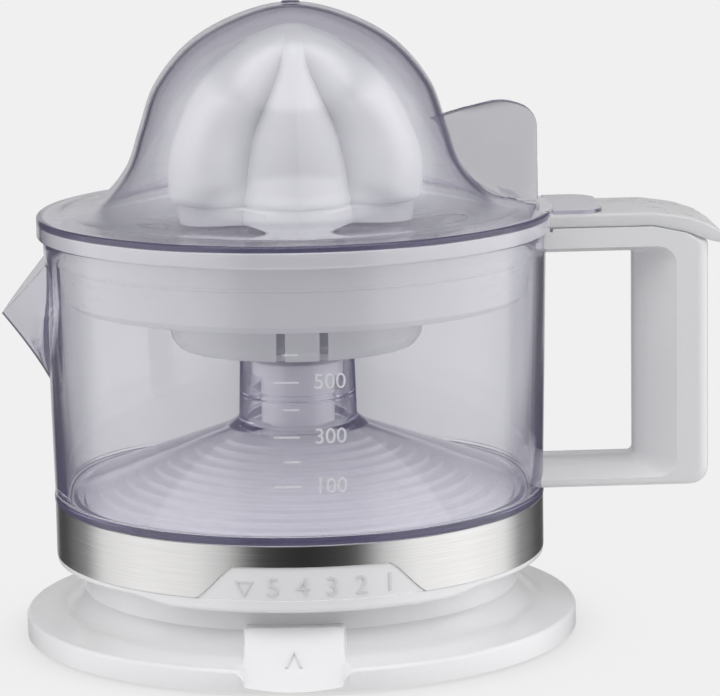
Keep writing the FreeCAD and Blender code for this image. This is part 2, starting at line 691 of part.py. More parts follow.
def cone_radius(radii, azimuth, fullness):
    """Radius of the cone's section: a rib's flanks and a lobe's, blended where they meet in a flute."""
    rib, lobe, flute = radii
    pair = 360.0 / CONE_PAIRS
    off = abs((azimuth + pair / 2) % pair - pair / 2)
    depth = min(1.0, (rib - flute) / 6.0)
    deep = flute - FLUTE_DROP * depth
    ridge = rib - (rib - deep) * (off / VALLEY_ANGLE) ** RIB_POWER
    share = (pair / 2 - off) / (pair / 2 - VALLEY_ANGLE)
    full = lobe - (lobe - deep) * share ** fullness
    width = FLUTE_ROUND * depth
    near = max(0.0, width - abs(ridge - full))
    return max(ridge, full) + near * near / (4 * width)


def lobed_wire(radii, z, inset=0.0, fullness=LOBE_POWER):
    """The cone's closed outline at one height."""
    points = []
    for a in even(CONE_PAIRS * 24):
        points.append(polar(cone_radius(radii, a, fullness) - inset, a + CONE_TURN - 90.0, z))
    curve = Part.BSplineCurve()
    curve.interpolate(points, PeriodicFlag=True)
    return Part.Wire(curve.toShape())


def skirt_wire(z, inset=0.0):
    return lobed_wire(SKIRT_RADII, z, inset, SKIRT_POWER)


def cone():
    outer = Part.makeLoft([lobed_wire(row[1:], row[0]) for row in LOBES], True, False)
    skirt = Part.makeLoft([skirt_wire(z) for z in (CONE_BOTTOM, CONE_STEP + 0.4)], True, True)
    tip = Part.makeSphere(TIP_R, V(0, 0, CONE_TOP - TIP_R))
    body = outer.fuse(skirt).fuse(tip)
    rows = [row for row in LOBES[1:] if row[3] > CONE_HUB_R + CONE_WALL]
    inner_wires = [lobed_wire(row[1:], row[0] - CONE_WALL, CONE_WALL) for row in rows]
    hollow = Part.makeLoft(inner_wires, True, False)
    low = rows[0][0] - CONE_WALL
    under = Part.makeLoft([skirt_wire(z, CONE_WALL) for z in (CONE_BOTTOM - 1, low + 0.2)], True, True)
    body = body.cut(hollow).cut(under).fuse(rod(CONE_HUB_R, CONE_HUB_LOW, CONE_HUB_TOP))
    return body.cut(hexagon(STEM_AF + 2 * FIT, CONE_HUB_LOW - 1, STEM_TOP)).removeSplitter()


# ---- pulp ring ---------------------------------------------------------------------------------
def pulp_ring():
    wall_in = RING_R - RING_WALL
    body = turned([(wall_in, RING_BOTTOM), (RING_LIP_R, RING_BOTTOM), (RING_LIP_R, BAND_BOTTOM),
                   (RING_R, BAND_BOTTOM), (RING_R, RING_TOP), (wall_in, RING_TOP), (wall_in, WEB_TOP),
                   (RING_BORE_R, WEB_TOP), (RING_BORE_R, WEB_LOW), (GUIDE_IN_R, WEB_LOW),
                   (GUIDE_IN_R, DETENT_TOP), (GUIDE_OUT_R, DETENT_TOP), (GUIDE_OUT_R, WEB_LOW),
                   (wall_in, WEB_LOW)])
    extras = [sector(wall_in, RING_LIP_R, RING_BOTTOM - APRON_DROP, RING_BOTTOM + 0.5,
                     -APRON_HALF, APRON_HALF)]
    # stairs under the web: one tread for each setting
    offset = FIRST_MARK - TAB_AZIMUTH
    for a in LUG_ANGLES:
        for k in range(SETTINGS):
            middle = a + offset + k * SETTING_PITCH
            tread = LUG_TOP + LUG_GAP - (offset / SETTING_PITCH + k) * STEP_RISE
            extras.append(sector(RING_BORE_R, GUIDE_IN_R + 0.3, tread, WEB_LOW + 0.3,
                                 middle - SETTING_PITCH / 2, middle + SETTING_PITCH / 2))
    for a in KEY_ANGLES:
        for side in (-1, 1):
            middle = a + side * (KEY_HALF + 2.5)
            extras.append(sector(wall_in - 1.8, wall_in + 0.3, WEB_TOP - 0.3, RING_TOP - 0.4,
                                 middle - 1.5, middle + 1.5))
    return body.multiFuse(extras).removeSplitter()


def steel_band():
    band = tube(RING_R, RING_R + BAND_THICK, BAND_BOTTOM, BAND_TOP)
    top = RING_R * math.sin(math.radians(PANEL_TOP_HALF))
    low = RING_R * math.sin(math.radians(PANEL_BOTTOM_HALF))
    window = slab([(-low, BAND_BOTTOM - 1), (-low, BAND_BOTTOM), (-top, PANEL_TOP), (top, PANEL_TOP),
                   (low, BAND_BOTTOM), (low, BAND_BOTTOM - 1)], 20)
    window.translate(V(0, -RING_R, 0))
    return band.cut(window)


def pulp_marks():
    """The release mark and the five pulp levels on the ring's white panel."""
    marks = [placed_mark(arrow(MARK_HEIGHT * 0.8, -1), FIRST_MARK, MARK_Z + 0.3)]
    for k in range(1, SETTINGS):
        marks.append(placed_mark(digit(SETTINGS - k, MARK_HEIGHT), FIRST_MARK + k * SETTING_PITCH, MARK_Z))
    skin = tube(RING_R, RING_R + MARK_RAISE, MARK_Z - 5, MARK_Z + 5)
    return Part.makeCompound([s for m in marks for s in m.common(skin).Solids])


def detent_ring():
    body = tube(GUIDE_IN_R - 0.2, DETENT_OUT_R, DETENT_LOW, DETENT_TOP)
    keys = []
    for a in RIB_ANGLES:
        for side in (-1, 1):
            middle = a + side * 2.9
            keys.append(sector(NECK_R + 0.6, GUIDE_IN_R + 0.3, DETENT_LOW, DETENT_TOP,
                               middle - 1.2, middle + 1.2))
    return body.multiFuse(keys).removeSplitter()


# ---- jug and handle ----------------------------------------------------------------------------
def beak():
    """The outside of the pouring spout: a wedge that narrows down the jug's wall."""
    root, tip, foot_point = [], [], V(SPOUT_ROOT_X, 0, SPOUT_FOOT_Z)
    for side in (-1, 1):
        root.append(V(SPOUT_ROOT_X, side * SPOUT_ROOT_HALF, SPOUT_ROOT_Z))
        tip.append(V(SPOUT_TIP_X, side * SPOUT_TIP_HALF, SPOUT_TIP_Z))
    loops = [(root[0], root[1], tip[1], tip[0]), (tip[0], tip[1], foot_point),
             (root[0], tip[0], foot_point), (tip[1], root[1], foot_point), (root[1], root[0], foot_point)]
    faces = [Part.Face(Part.makePolygon(list(loop) + [loop[0]])) for loop in loops]
    return Part.Solid(Part.makeShell(faces))


def floor_under(radius):
    return cover_z(radius) + FLOOR_GAP


def jug():
    wall_foot = jug_r(RING_TOP) - JUG_WALL
    start_r = COVER_CROWN_R + (COVER_TOP + FLOOR_GAP - RING_TOP) / COVER_SLOPE
    chimney_in = CHIMNEY_R_BASE - CHIMNEY_WALL
    corner = wall_foot - 1.5
    floor_top = [(wall_foot + 0.05, floor_under(wall_foot) + FLOOR_RISE + 1.5),
                 (corner, floor_under(corner) + FLOOR_RISE + 0.2),
                 (CHIMNEY_R_BASE + 3.0, floor_under(CHIMNEY_R_BASE + 3.0) + FLOOR_RISE),
                 (CHIMNEY_R_BASE, floor_under(CHIMNEY_R_BASE) + FLOOR_RISE + 1.5)]
    outline = [(start_r, RING_TOP), (JUG_R_BOTTOM, RING_TOP), (JUG_R_TOP, JUG_TOP),
               (JUG_R_TOP - JUG_WALL, JUG_TOP)] + floor_top
    outline += [(CHIMNEY_R_TOP, CHIMNEY_TOP), (CHIMNEY_R_TOP - CHIMNEY_WALL, CHIMNEY_TOP),
                (chimney_in, floor_under(chimney_in))]
    body = turned(outline)
    outside = beak()
    channel = beak()
    channel.translate(V(SPOUT_WALL * SPOUT_HOLLOW[0], 0, SPOUT_WALL * SPOUT_HOLLOW[1]))
    keep_low = box(-120, 0, -40, 40, 40, SPOUT_TOP)
    outside = outside.common(keep_low).cut(jug_body(-JUG_WALL * 0.6))
    body = body.fuse(outside).cut(channel.common(keep_low))
    ledge = tube(LEDGE_R, chimney_in - 0.1, LEDGE_TOP - LEDGE_THICK, LEDGE_TOP)
    extras = [ledge]
    for low, high in (LOW_TONGUE, TOP_TONGUE):
        tongue = box(JUG_R_BOTTOM - 4, MOUNT_END_X, -MOUNT_HALF, MOUNT_HALF, low, high)
        extras.append(tongue.cut(jug_body(-JUG_WALL * 0.5)))
    for a in KEY_ANGLES:
        extras.append(sector(start_r + 0.8, RING_R - RING_WALL - 0.4, WEB_TOP + 0.2, RING_TOP + 0.5,
                             a - KEY_HALF, a + KEY_HALF))
    body = body.multiFuse(extras)
    return body.cut(rod(SCREW_R, 40, LOW_TONGUE[1] + 1, V(MOUNT_END_X - 4, 0, 0))).removeSplitter()


def jug_marks():
    """Moulded level marks: a line and a numeral for each level."""
    marks = []
    for value, z in LABELS:
        for i, ch in enumerate(str(value)):
            azimuth = LABEL_AZIMUTH + (i - 1) * 2.9
            marks.append(placed_mark(digit(int(ch), LABEL_HEIGHT), azimuth, z))
        line = box(-4.6, 4.6, -90, -50, -0.35, 0.35)
        marks.append(placed_mark(line, LABEL_AZIMUTH - 10.5, z))
    skin = jug_body(0.3).cut(jug_body(0.0))
    return Part.makeCompound([s for m in marks for s in m.common(skin).Solids])


def opening_wire(y, grow):
    x1 = GRIP_IN_X + grow * BEVEL_X
    z0, z1 = OPENING_LOW - grow * BEVEL_LOW, OPENING_TOP + grow * BEVEL_TOP
    corners = [V(55, y, z0), V(x1, y, z0), V(x1, y, z1), V(55, y, z1)]
    return Part.makePolygon(corners + [corners[0]])


def handle_block():
    outline = [(60, HANDLE_BOTTOM), (HANDLE_OUT_X, HANDLE_BOTTOM), HANDLE_TOP_CURVE[2], HANDLE_TOP_CURVE[1],
               HANDLE_TOP_CURVE[0], (60, HANDLE_TOP)]
    block = slab(outline, HANDLE_HALF)
    upright = [e for e in block.Edges if e.BoundBox.XMin > HANDLE_OUT_X - 0.1 and e.BoundBox.ZLength > 20]
    lowest = [e for e in block.Edges if e.BoundBox.ZMax < HANDLE_BOTTOM + 0.1 and e.BoundBox.YLength > 20
              and e.BoundBox.XMin > HANDLE_OUT_X - 0.1]
    return block.makeFillet(HANDLE_CORNER, upright + lowest)


def handle():
    body = handle_block()
    middle = [opening_wire(-FLAT_HALF, 0), opening_wire(FLAT_HALF, 0)]
    body = body.cut(Part.makeLoft(middle, True, True))
    beyond = 2.0
    over = 1.0 + beyond / (HANDLE_HALF - FLAT_HALF)
    for side in (-1, 1):
        face = opening_wire(side * (HANDLE_HALF + beyond), over)
        body = body.cut(Part.makeLoft([opening_wire(side * FLAT_HALF, 0), face], True, True))
    body = body.cut(jug_body().fuse(rod(jug_r(JUG_TOP), JUG_TOP - 1, HANDLE_TOP + 5)))
    for low, high in (LOW_TONGUE, TOP_TONGUE):
        body = body.cut(box(60, MOUNT_END_X, -MOUNT_HALF, MOUNT_HALF, low, high))
    at = V(MOUNT_END_X - 4, 0, 0)
    body = body.cut(rod(SCREW_R, 0, LOW_TONGUE[0] + 0.5, at))
    body = body.cut(rod(SCREW_HEAD_R, 0, HANDLE_BOTTOM + 1.6, at))
    # room for the strainer's rim and the lid's skirt over the arm
    return body.cut(rod(LID_R + 0.6, JUG_TOP - 0.2, HANDLE_TOP + 1)).removeSplitter()


def handle_screw():
    return screw(V(MOUNT_END_X - 4, 0, 0), HANDLE_BOTTOM + 0.2, HANDLE_BOTTOM + 1.6, LOW_TONGUE[1])


# ---- strainer ----------------------------------------------------------------------------------
def strainer():
    w = BOWL_WALL
    rim = [(STRAINER_R, JUG_TOP), (STRAINER_R, STRAINER_TOP), (STRAINER_R - UPSTAND, STRAINER_TOP),
           (STRAINER_R - UPSTAND, FLANGE_TOP)]
    inside = [(BOWL_R_TOP - w, FLANGE_TOP), (BOWL_R_LOW - w, BOWL_LOW + w + 1.4),
              (BOWL_R_LOW - w - 1.8, BOWL_LOW + w), (WELL_R_TOP - w, BOWL_LOW + w),
              (WELL_R_LOW - w, WELL_LOW + w + 2.4), (WELL_R_LOW - w - 2.4, WELL_LOW + w),
              (HUB_R, WELL_LOW + w), (HUB_R, HUB_TOP - 1.6), (HUB_R - 2.0, HUB_TOP), (HUB_BORE_R, HUB_TOP)]
    below = [(HUB_BORE_R, HUB_TOP - w), (HUB_R - w - 1.0, HUB_TOP - w), (HUB_R - w, HUB_TOP - w - 1.6),
             (HUB_R - w, WELL_LOW), (WELL_R_LOW - 1.8, WELL_LOW), (WELL_R_LOW, WELL_LOW + 1.8),
             (WELL_R_TOP, BOWL_LOW), (BOWL_R_LOW - 1.4, BOWL_LOW), (BOWL_R_LOW, BOWL_LOW + 1.4),
             (BOWL_R_TOP, JUG_TOP)]
    body = turned(rim + inside + below)
    edge_r, edge_z = SIEVE_EDGE
    ledge = turned([(edge_r - 1.8, edge_z - 1.0), (edge_r + 0.8, edge_z - 2.6), (edge_r + 0.8, edge_z),
                    (edge_r - 1.8, edge_z)])
    body = body.fuse(ledge)
    (x1, z1), (x2, z2) = HANDLE_TOP_CURVE[1:]
    low = HANDLE_TOP + TAB_GAP
    tab = slab([(BOWL_R_TOP, low), (TAB_FLAT_X, low), (x1, z1 + TAB_GAP), (x2, z2 + TAB_GAP),
                (TAB_END_X, z2 - 0.6), (TAB_END_X, z2 + 2.6), (x2, z2 + TAB_THICK + 1.0),
                (x1, z1 + TAB_THICK + 0.6), (TAB_FLAT_X, EAR_LOW), (BOWL_R_TOP, EAR_LOW)], HANDLE_HALF)
    round_ends = [e for e in tab.Edges if e.BoundBox.XMin > TAB_END_X - 0.1 and e.BoundBox.ZLength > 1]
    tab = tab.makeFillet(5.0, round_ends).cut(rod(STRAINER_R - UPSTAND, 100, 130))
    body = body.fuse(tab)
    first = (WELL_TONGUE + WELL_SLOT) / 2
    slots = []
    for y in (-first, first):
        slot = box(WELL_R_LOW - 5.0, WELL_R_TOP + 2, y - WELL_SLOT / 2, y + WELL_SLOT / 2,
                   WELL_LOW - 1, BOWL_LOW - 1.0)
        slots += [turn(slot, a) for a in even(WELL_TONGUES, 270.0)]
    return body.cut(Part.makeCompound(slots)).removeSplitter()


def sieve():
    (r1, z1), (r0, z0) = SIEVE_EDGE, SIEVE_INNER
    t = SIEVE_THICK
    body = turned([(r0, z0), (r1 - 1.9, z1), (r1, z1), (r1, z1 + t), (r1 - 1.9, z1 + t),
                   (r0 + 4, z0 + t + 0.4), (r0, z0 + t + 1.2)])
    cuts = []
    for a in even(SIEVE_SLOTS):
        cuts.append(turn(box(40, r1 - 4, -SIEVE_SLOT / 2, SIEVE_SLOT / 2, 90, 120), a))
    for a in even(SIEVE_SLOTS // 2, 5.0):
        cuts.append(turn(box(r0 + 8, 37, -SIEVE_SLOT / 2, SIEVE_SLOT / 2, 90, 120), a))
    return body.cut(Part.makeCompound(cuts))


# ---- lid ---------------------------------------------------------------------------------------
def bell_curve(inset):
    """The lid's outline from the crown to the brim, pushed in along its normal."""
    curve = Part.BSplineCurve()
    curve.interpolate([V(r, 0, z) for r, z in BELL], InitialTangent=V(1, 0, 0), FinalTangent=V(1, 0, -0.05))
    if inset == 0:
        return curve
    first, last = curve.FirstParameter, curve.LastParameter
    points = []
    for i in range(25):
        u = first + (last - first) * i / 24
        p, t = curve.value(u), curve.tangent(u)[0]
        points.append(p + V(t.z, 0, -t.x) * inset)
    inner = Part.BSplineCurve()
    inner.interpolate([V(0, 0, points[0].z)] + points[1:])
    return inner


def lid():
    outer, inner = bell_curve(0), bell_curve(LID_WALL)
    p_out, p_in = outer.value(outer.LastParameter), inner.value(inner.LastParameter)
    top, under = inner.value(inner.FirstParameter), STRAINER_TOP
    rim = [p_out, V(LID_R - 1.0, 0, BRIM_TOP), V(LID_R, 0, BRIM_TOP - 1.0), V(LID_R, 0, SKIRT_BOTTOM),
           V(LID_R - SKIRT_WALL, 0, SKIRT_BOTTOM), V(LID_R - SKIRT_WALL, 0, under), V(p_in.x, 0, under), p_in]
    edges = [outer.toShape()]
    edges += [Part.makeLine(a, b) for a, b in zip(rim, rim[1:]) if (a - b).Length > 1e-6]
    edges += [inner.toShape(), Part.makeLine(top, V(0, 0, BELL[0][1]))]
    body = Part.Face(Part.Wire(Part.sortEdges(edges)[0])).revolve(ORIGIN, AXIS, 360)
    corners = [p_out, V(p_out.x, 0, 100), V(0, 0, 100), V(0, 0, BELL[0][1])]
    hollow_edges = [outer.toShape()] + [Part.makeLine(a, b) for a, b in zip(corners, corners[1:])]
    inside = Part.Face(Part.Wire(Part.sortEdges(hollow_edges)[0])).revolve(ORIGIN, AXIS, 360)
    fin = slab(list(FIN) + [(30.0, 118.0), (30.0, 143.0)], FIN_HALF)
    corner = [e for e in fin.Edges if e.BoundBox.YLength > 2 * FIN_HALF - 0.1
              and e.BoundBox.XMin > FIN[3][0] - 0.1 and e.BoundBox.ZMin > FIN[3][1] - 0.1]
    fin = fin.makeFillet(FIN_ROUND, corner).cut(inside)
    ear = box(60, EAR_END_X, -EAR_HALF, EAR_HALF, EAR_LOW, BRIM_TOP)
    tips = [e for e in ear.Edges if e.BoundBox.ZLength > 1 and e.BoundBox.XMin > EAR_END_X - 0.1]
    ear = ear.makeFillet(9.0, tips).cut(rod(LID_R - 3.0, 100, 130))
    # the skirt opens over the strainer's long tab
    notch = box(STRAINER_R - 3, 90, -EAR_HALF - 0.5, EAR_HALF + 0.5, SKIRT_BOTTOM - 1, EAR_LOW)
    notch = notch.cut(rod(STRAINER_R - UPSTAND - 0.3, 100, STRAINER_TOP + 5))
    return body.cut(notch).fuse(fin).fuse(ear).removeSplitter()


# ---- build -------------------------------------------------------------------------------------
PIECES = (
    foot, foot_pointer, motor_cover, bottom_plate, rubber_ring, plate_screws, deck_screws, gear_deck,
    top_deck, spindle_bush, motor_can, motor_coil, compound_axle, cord_gland, spring_seat,
    return_spring, switch_body, switch_lever, switch_button, terminal_block, terminal_screws,
    output_gear, compound_gear, motor_pinion, motor_rotor, spindle, spring_cup, drive_shaft, cone,
    pulp_ring, steel_band, pulp_marks, detent_ring, jug, jug_marks, handle, handle_screw, strainer,
    sieve, lid)

os.makedirs("parts", exist_ok=True)
for make in PIECES:
    export(make.__name__, make())
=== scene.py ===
"""Looks of the citrus press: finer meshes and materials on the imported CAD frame, and the photograph's view.

Sizes are millimetres until a mesh is made. Azimuths are degrees from -Y towards +X, as in the CAD source.
"""
import bpy
import bmesh
import json
import math
from mathutils import Matrix, Vector


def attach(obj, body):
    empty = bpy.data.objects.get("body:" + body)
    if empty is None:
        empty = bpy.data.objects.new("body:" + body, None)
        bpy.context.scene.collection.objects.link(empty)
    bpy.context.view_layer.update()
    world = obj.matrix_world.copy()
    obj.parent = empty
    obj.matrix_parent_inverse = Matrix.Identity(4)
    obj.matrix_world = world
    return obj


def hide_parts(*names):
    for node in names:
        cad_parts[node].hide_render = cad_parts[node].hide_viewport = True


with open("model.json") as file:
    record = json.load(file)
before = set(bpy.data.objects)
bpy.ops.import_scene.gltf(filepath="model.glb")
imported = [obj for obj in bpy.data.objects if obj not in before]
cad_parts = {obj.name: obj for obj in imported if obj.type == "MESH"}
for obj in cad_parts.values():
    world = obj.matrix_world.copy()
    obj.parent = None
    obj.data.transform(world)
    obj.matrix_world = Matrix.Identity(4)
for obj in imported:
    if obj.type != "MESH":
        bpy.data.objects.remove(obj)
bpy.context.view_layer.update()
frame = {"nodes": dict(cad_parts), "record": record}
MM = 0.001

# ---- sizes that the pieces share --------------------------------------------------------------
JUG_LOW = (68.05, 38.3)          # outer radius and height of the jug's lower edge
JUG_RIM = (69.45, 112.3)
JUG_WALL = 2.0
COVER_TOP = 53.4
COVER_CROWN_R = 21.0
COVER_SLOPE = 0.395
COVER_STEPS = 10
NECK_R = 60.5
NECK_TOP = 31.0
FLOOR_GAP = 1.25
FLOOR_RISE = 2.15
RING_R = 67.7
BAND = (23.4, 38.2)
TAB_AZIMUTH = -4.3
BELL = ((0.0, 175.4), (13.8, 172.6), (28.0, 165.0), (38.0, 153.2), (42.3, 141.5), (46.2, 130.6),
        (53.8, 122.0), (64.0, 118.6))
SPOUT_TIP = (-81.4, 91.0)
SPOUT_TOP = 105.7
SPOUT_FOOT = (-67.0, 68.0)


# ---- mesh helpers ------------------------------------------------------------------------------
def add_object(name, verts, faces):
    mesh = bpy.data.meshes.new(name)
    mesh.from_pydata([Vector(v) * MM for v in verts], [], faces)
    obj = bpy.data.objects.new(name, mesh)
    bpy.context.scene.collection.objects.link(obj)
    clean(obj)
    return obj


def clean(obj):
    """Merges doubled points and turns every face outwards."""
    bm = bmesh.new()
    bm.from_mesh(obj.data)
    bmesh.ops.remove_doubles(bm, verts=bm.verts, dist=1e-6)
    bmesh.ops.dissolve_degenerate(bm, edges=bm.edges, dist=1e-7)
    bmesh.ops.recalc_face_normals(bm, faces=bm.faces)
    bm.to_mesh(obj.data)
    bm.free()


def smooth(obj, angle=32):
    obj.data.shade_smooth()
    obj.data.set_sharp_from_angle(angle=math.radians(angle))


def rounded(corners, steps=5):
    """A closed outline; a corner with a third number is rounded to that radius."""
    points = []
    for i, corner in enumerate(corners):
        p = Vector(corner[:2])
        if len(corner) < 3:
            points.append(tuple(p))
            continue
        before = Vector(corners[i - 1][:2]) - p
        after = Vector(corners[(i + 1) % len(corners)][:2]) - p
        a, b = before.normalized(), after.normalized()
        half = a.angle(b) / 2
        cut = min(corner[2] / math.tan(half), 0.49 * before.length, 0.49 * after.length)
        centre = p + (a + b).normalized() * (cut / math.cos(half))
        spokes = (p + a * cut - centre, p + b * cut - centre)
        turn = spokes[0].angle_signed(spokes[1])
        for k in range(steps + 1):
            c, s = math.cos(-turn * k / steps), math.sin(-turn * k / steps)
            x, y = spokes[0]
            points.append((centre.x + c * x - s * y, centre.y + s * x + c * y))
    return points


def through(points, steps=8):
    """A smooth open curve through points, level at both ends."""
    pts = [Vector(p) for p in points]
    pts = [Vector((-pts[1].x, pts[1].y))] + pts + [pts[-1] * 2 - pts[-2]]
    curve = []
    for p0, p1, p2, p3 in zip(pts, pts[1:], pts[2:], pts[3:]):
        t01, t12, t23 = (max(1e-6, (q - p).length ** 0.5) for p, q in ((p0, p1), (p1, p2), (p2, p3)))
        m1 = (p2 - p1) + t12 * ((p1 - p0) / t01 - (p2 - p0) / (t01 + t12))
        m2 = (p2 - p1) + t12 * ((p3 - p2) / t23 - (p3 - p1) / (t12 + t23))
        for k in range(steps):
            u = k / steps
            curve.append((2 * p1 - 2 * p2 + m1 + m2) * u ** 3 + (-3 * p1 + 3 * p2 - 2 * m1 - m2) * u ** 2 + m1 * u + p1)
    return curve + [pts[-2]]


def pushed_in(curve, depth):
    """The curve moved inwards, to the right of its own direction."""
    moved = []
    for i, p in enumerate(curve):
        d = (curve[min(i + 1, len(curve) - 1)] - curve[max(i - 1, 0)]).normalized()
        moved.append(Vector((max(0.0, p.x + d.y * depth), p.y - d.x * depth)))
    return moved


def turned(name, outline, segments=192, shift=None):
    """A closed outline of (radius, height) turned round the axis; shift may move a point by its azimuth."""
    verts, faces = [], []
    count = len(outline)
    for s in range(segments):
        azimuth = 360.0 * s / segments - 180.0
        a = math.radians(azimuth - 90.0)
        for r, z in outline:
            if shift:
                r, z = shift(r, z, azimuth)
            verts.append((r * math.cos(a), r * math.sin(a), z))
    for s in range(segments):
        for i in range(count):
            j, t = (i + 1) % count, (s + 1) % segments
            faces.append((s * count + i, t * count + i, t * count + j, s * count + j))
    return add_object(name, verts, faces)


def plate(name, outline, low, high, axis="y"):
    """An outline extruded along y (points are x, z) or z (points are x, y)."""
    verts = []
    for level in (low, high):
        verts += [(x, level, y) if axis == "y" else (x, y, level) for x, y in outline]
    n = len(outline)
    faces = [tuple(range(n)), tuple(range(n, 2 * n))]
    faces += [(i, (i + 1) % n, n + (i + 1) % n, n + i) for i in range(n)]
    return add_object(name, verts, faces)


def lofted(name, rows):
    """A closed solid through rows of points, each row a closed loop of the same length."""
    n = len(rows[0])
    verts = [p for row in rows for p in row]
    faces = [tuple(range(n)), tuple(range((len(rows) - 1) * n, len(rows) * n))]
    for k in range(len(rows) - 1):
        faces += [(k * n + i, k * n + (i + 1) % n, (k + 1) * n + (i + 1) % n, (k + 1) * n + i) for i in range(n)]
    return add_object(name, verts, faces)


def applied(obj):
    """Turns an object's modifiers into plain mesh."""
    bpy.context.view_layer.update()
    graph = bpy.context.evaluated_depsgraph_get()
    mesh = bpy.data.meshes.new_from_object(obj.evaluated_get(graph))
    obj.modifiers.clear()
    obj.data = mesh
    return obj


def combine(obj, other, operation):
    modifier = obj.modifiers.new("combine", "BOOLEAN")
    modifier.object = other
    modifier.operation = operation
    modifier.solver = "EXACT"
    applied(obj)
    bpy.data.objects.remove(other)
    clean(obj)
    return obj


def softened(obj, width, segments=3, angle=40):
    modifier = obj.modifiers.new("edges", "BEVEL")
    modifier.width = width * MM
    modifier.segments = segments
    modifier.limit_method = "ANGLE"
    modifier.angle_limit = math.radians(angle)
    modifier.harden_normals = False
    return applied(obj)


def weighted(obj):
    modifier = obj.modifiers.new("normals", "WEIGHTED_NORMAL")
    modifier.keep_sharp = True
    return applied(obj)


def jug_r(z):
    share = (z - JUG_LOW[1]) / (JUG_RIM[1] - JUG_LOW[1])
    return JUG_LOW[0] + (JUG_RIM[0] - JUG_LOW[0]) * share


def cover_z(radius):
    return COVER_TOP - COVER_SLOPE * (radius - COVER_CROWN_R)


def ease(x, low, high):
    t = min(1.0, max(0.0, (x - low) / (high - low)))
    return t * t * (3 - 2 * t)


# ---- materials ---------------------------------------------------------------------------------
def new_material(name):
    material = bpy.data.materials.new(name)
    material.use_nodes = True
    tree = material.node_tree
    return material, tree, tree.nodes["Principled BSDF"], tree.nodes["Material Output"]


def node(tree, kind, **inputs):
    made = tree.nodes.new(kind)
    for key, value in inputs.items():
        made.inputs[key.replace("_", " ")].default_value = value
    return made


def math_node(tree, operation, a, b=None, c=None):
    made = tree.nodes.new("ShaderNodeMath")
    made.operation = operation
    for i, value in enumerate((a, b, c)):
        if value is None:
            continue
        if isinstance(value, (int, float)):
            made.inputs[i].default_value = value
        else:
            tree.links.new(value, made.inputs[i])
    return made.outputs[0]


def fine_bump(tree, shader, scale, strength, distance=0.0002):
    coords = tree.nodes.new("ShaderNodeTexCoord")
    noise = node(tree, "ShaderNodeTexNoise", Scale=scale, Detail=3.0, Roughness=0.5)
    bump = node(tree, "ShaderNodeBump", Strength=strength, Distance=distance)
    tree.links.new(coords.outputs["Object"], noise.inputs["Vector"])
    tree.links.new(noise.outputs["Fac"], bump.inputs["Height"])
    tree.links.new(bump.outputs["Normal"], shader.inputs["Normal"])
    return noise


def plastic(name, color, roughness, grain=900.0, grain_strength=0.05, translucent=0.0, coat=0.0):
    """Moulded plastic: slight changes of gloss and tone over the surface, and a faint skin texture."""
    material, tree, shader, output = new_material(name)
    shader.inputs["Base Color"].default_value = (*color, 1)
    shader.inputs["Coat Weight"].default_value = coat
    noise = fine_bump(tree, shader, grain, grain_strength)
    patch = node(tree, "ShaderNodeTexNoise", Scale=35.0, Detail=2.0)
    spread = node(tree, "ShaderNodeMapRange", To_Min=roughness * 0.85, To_Max=roughness * 1.2)
    tree.links.new(patch.outputs["Fac"], spread.inputs["Value"])
    tree.links.new(spread.outputs["Result"], shader.inputs["Roughness"])
    tone = tree.nodes.new("ShaderNodeMix")
    tone.data_type = "RGBA"
    tone.inputs["A"].default_value = (*color, 1)
    tone.inputs["B"].default_value = (*(c * 0.965 for c in color), 1)
    tree.links.new(noise.outputs["Fac"], tone.inputs["Factor"])
    tree.links.new(tone.outputs["Result"], shader.inputs["Base Color"])
    if translucent:
        glow = node(tree, "ShaderNodeBsdfTranslucent")
        glow.inputs["Color"].default_value = (*color, 1)
        mixed = node(tree, "ShaderNodeMixShader", Fac=translucent)
        tree.links.new(shader.outputs[0], mixed.inputs[1])
        tree.links.new(glow.outputs[0], mixed.inputs[2])
        tree.links.new(mixed.outputs[0], output.inputs["Surface"])
    return material


def clear_plastic(name, color, shade, absorbed, density, haze, roughness=0.015):
    """Clear moulded plastic, tinted by its thickness; light that only casts shadows passes it, a little dimmed."""
    material, tree, shader, output = new_material(name)
    shader.inputs["Transmission Weight"].default_value = 1.0
    shader.inputs["Roughness"].default_value = roughness
    shader.inputs["IOR"].default_value = 1.5
    shader.inputs["Base Color"].default_value = (*color, 1)
    waves = fine_bump(tree, shader, 60.0, 0.02, 0.0004)
    tint = tree.nodes.new("ShaderNodeMix")
    tint.data_type = "RGBA"
    tint.inputs["A"].default_value = (*color, 1)
    tint.inputs["B"].default_value = (*(c * 0.97 for c in color), 1)
    tree.links.new(waves.outputs["Fac"], tint.inputs["Factor"])
    tree.links.new(tint.outputs["Result"], shader.inputs["Base Color"])
    passing = node(tree, "ShaderNodeBsdfTransparent")
    passing.inputs["Color"].default_value = (*shade, 1)
    rays = tree.nodes.new("ShaderNodeLightPath")
    mixed = tree.nodes.new("ShaderNodeMixShader")
    share = math_node(tree, "MAXIMUM", rays.outputs["Is Shadow Ray"], rays.outputs["Is Diffuse Ray"])
    cloud = node(tree, "ShaderNodeBsdfDiffuse")
    cloud.inputs["Color"].default_value = (0.62, 0.58, 0.95, 1)
    hazy = node(tree, "ShaderNodeMixShader", Fac=haze)
    tree.links.new(shader.outputs[0], hazy.inputs[1])
    tree.links.new(cloud.outputs[0], hazy.inputs[2])
    tree.links.new(share, mixed.inputs["Fac"])
    tree.links.new(hazy.outputs[0], mixed.inputs[1])
    tree.links.new(passing.outputs[0], mixed.inputs[2])
    tree.links.new(mixed.outputs[0], output.inputs["Surface"])
    body = node(tree, "ShaderNodeVolumeAbsorption", Density=density)
    body.inputs["Color"].default_value = (*absorbed, 1)
    tree.links.new(body.outputs[0], output.inputs["Volume"])
    return material


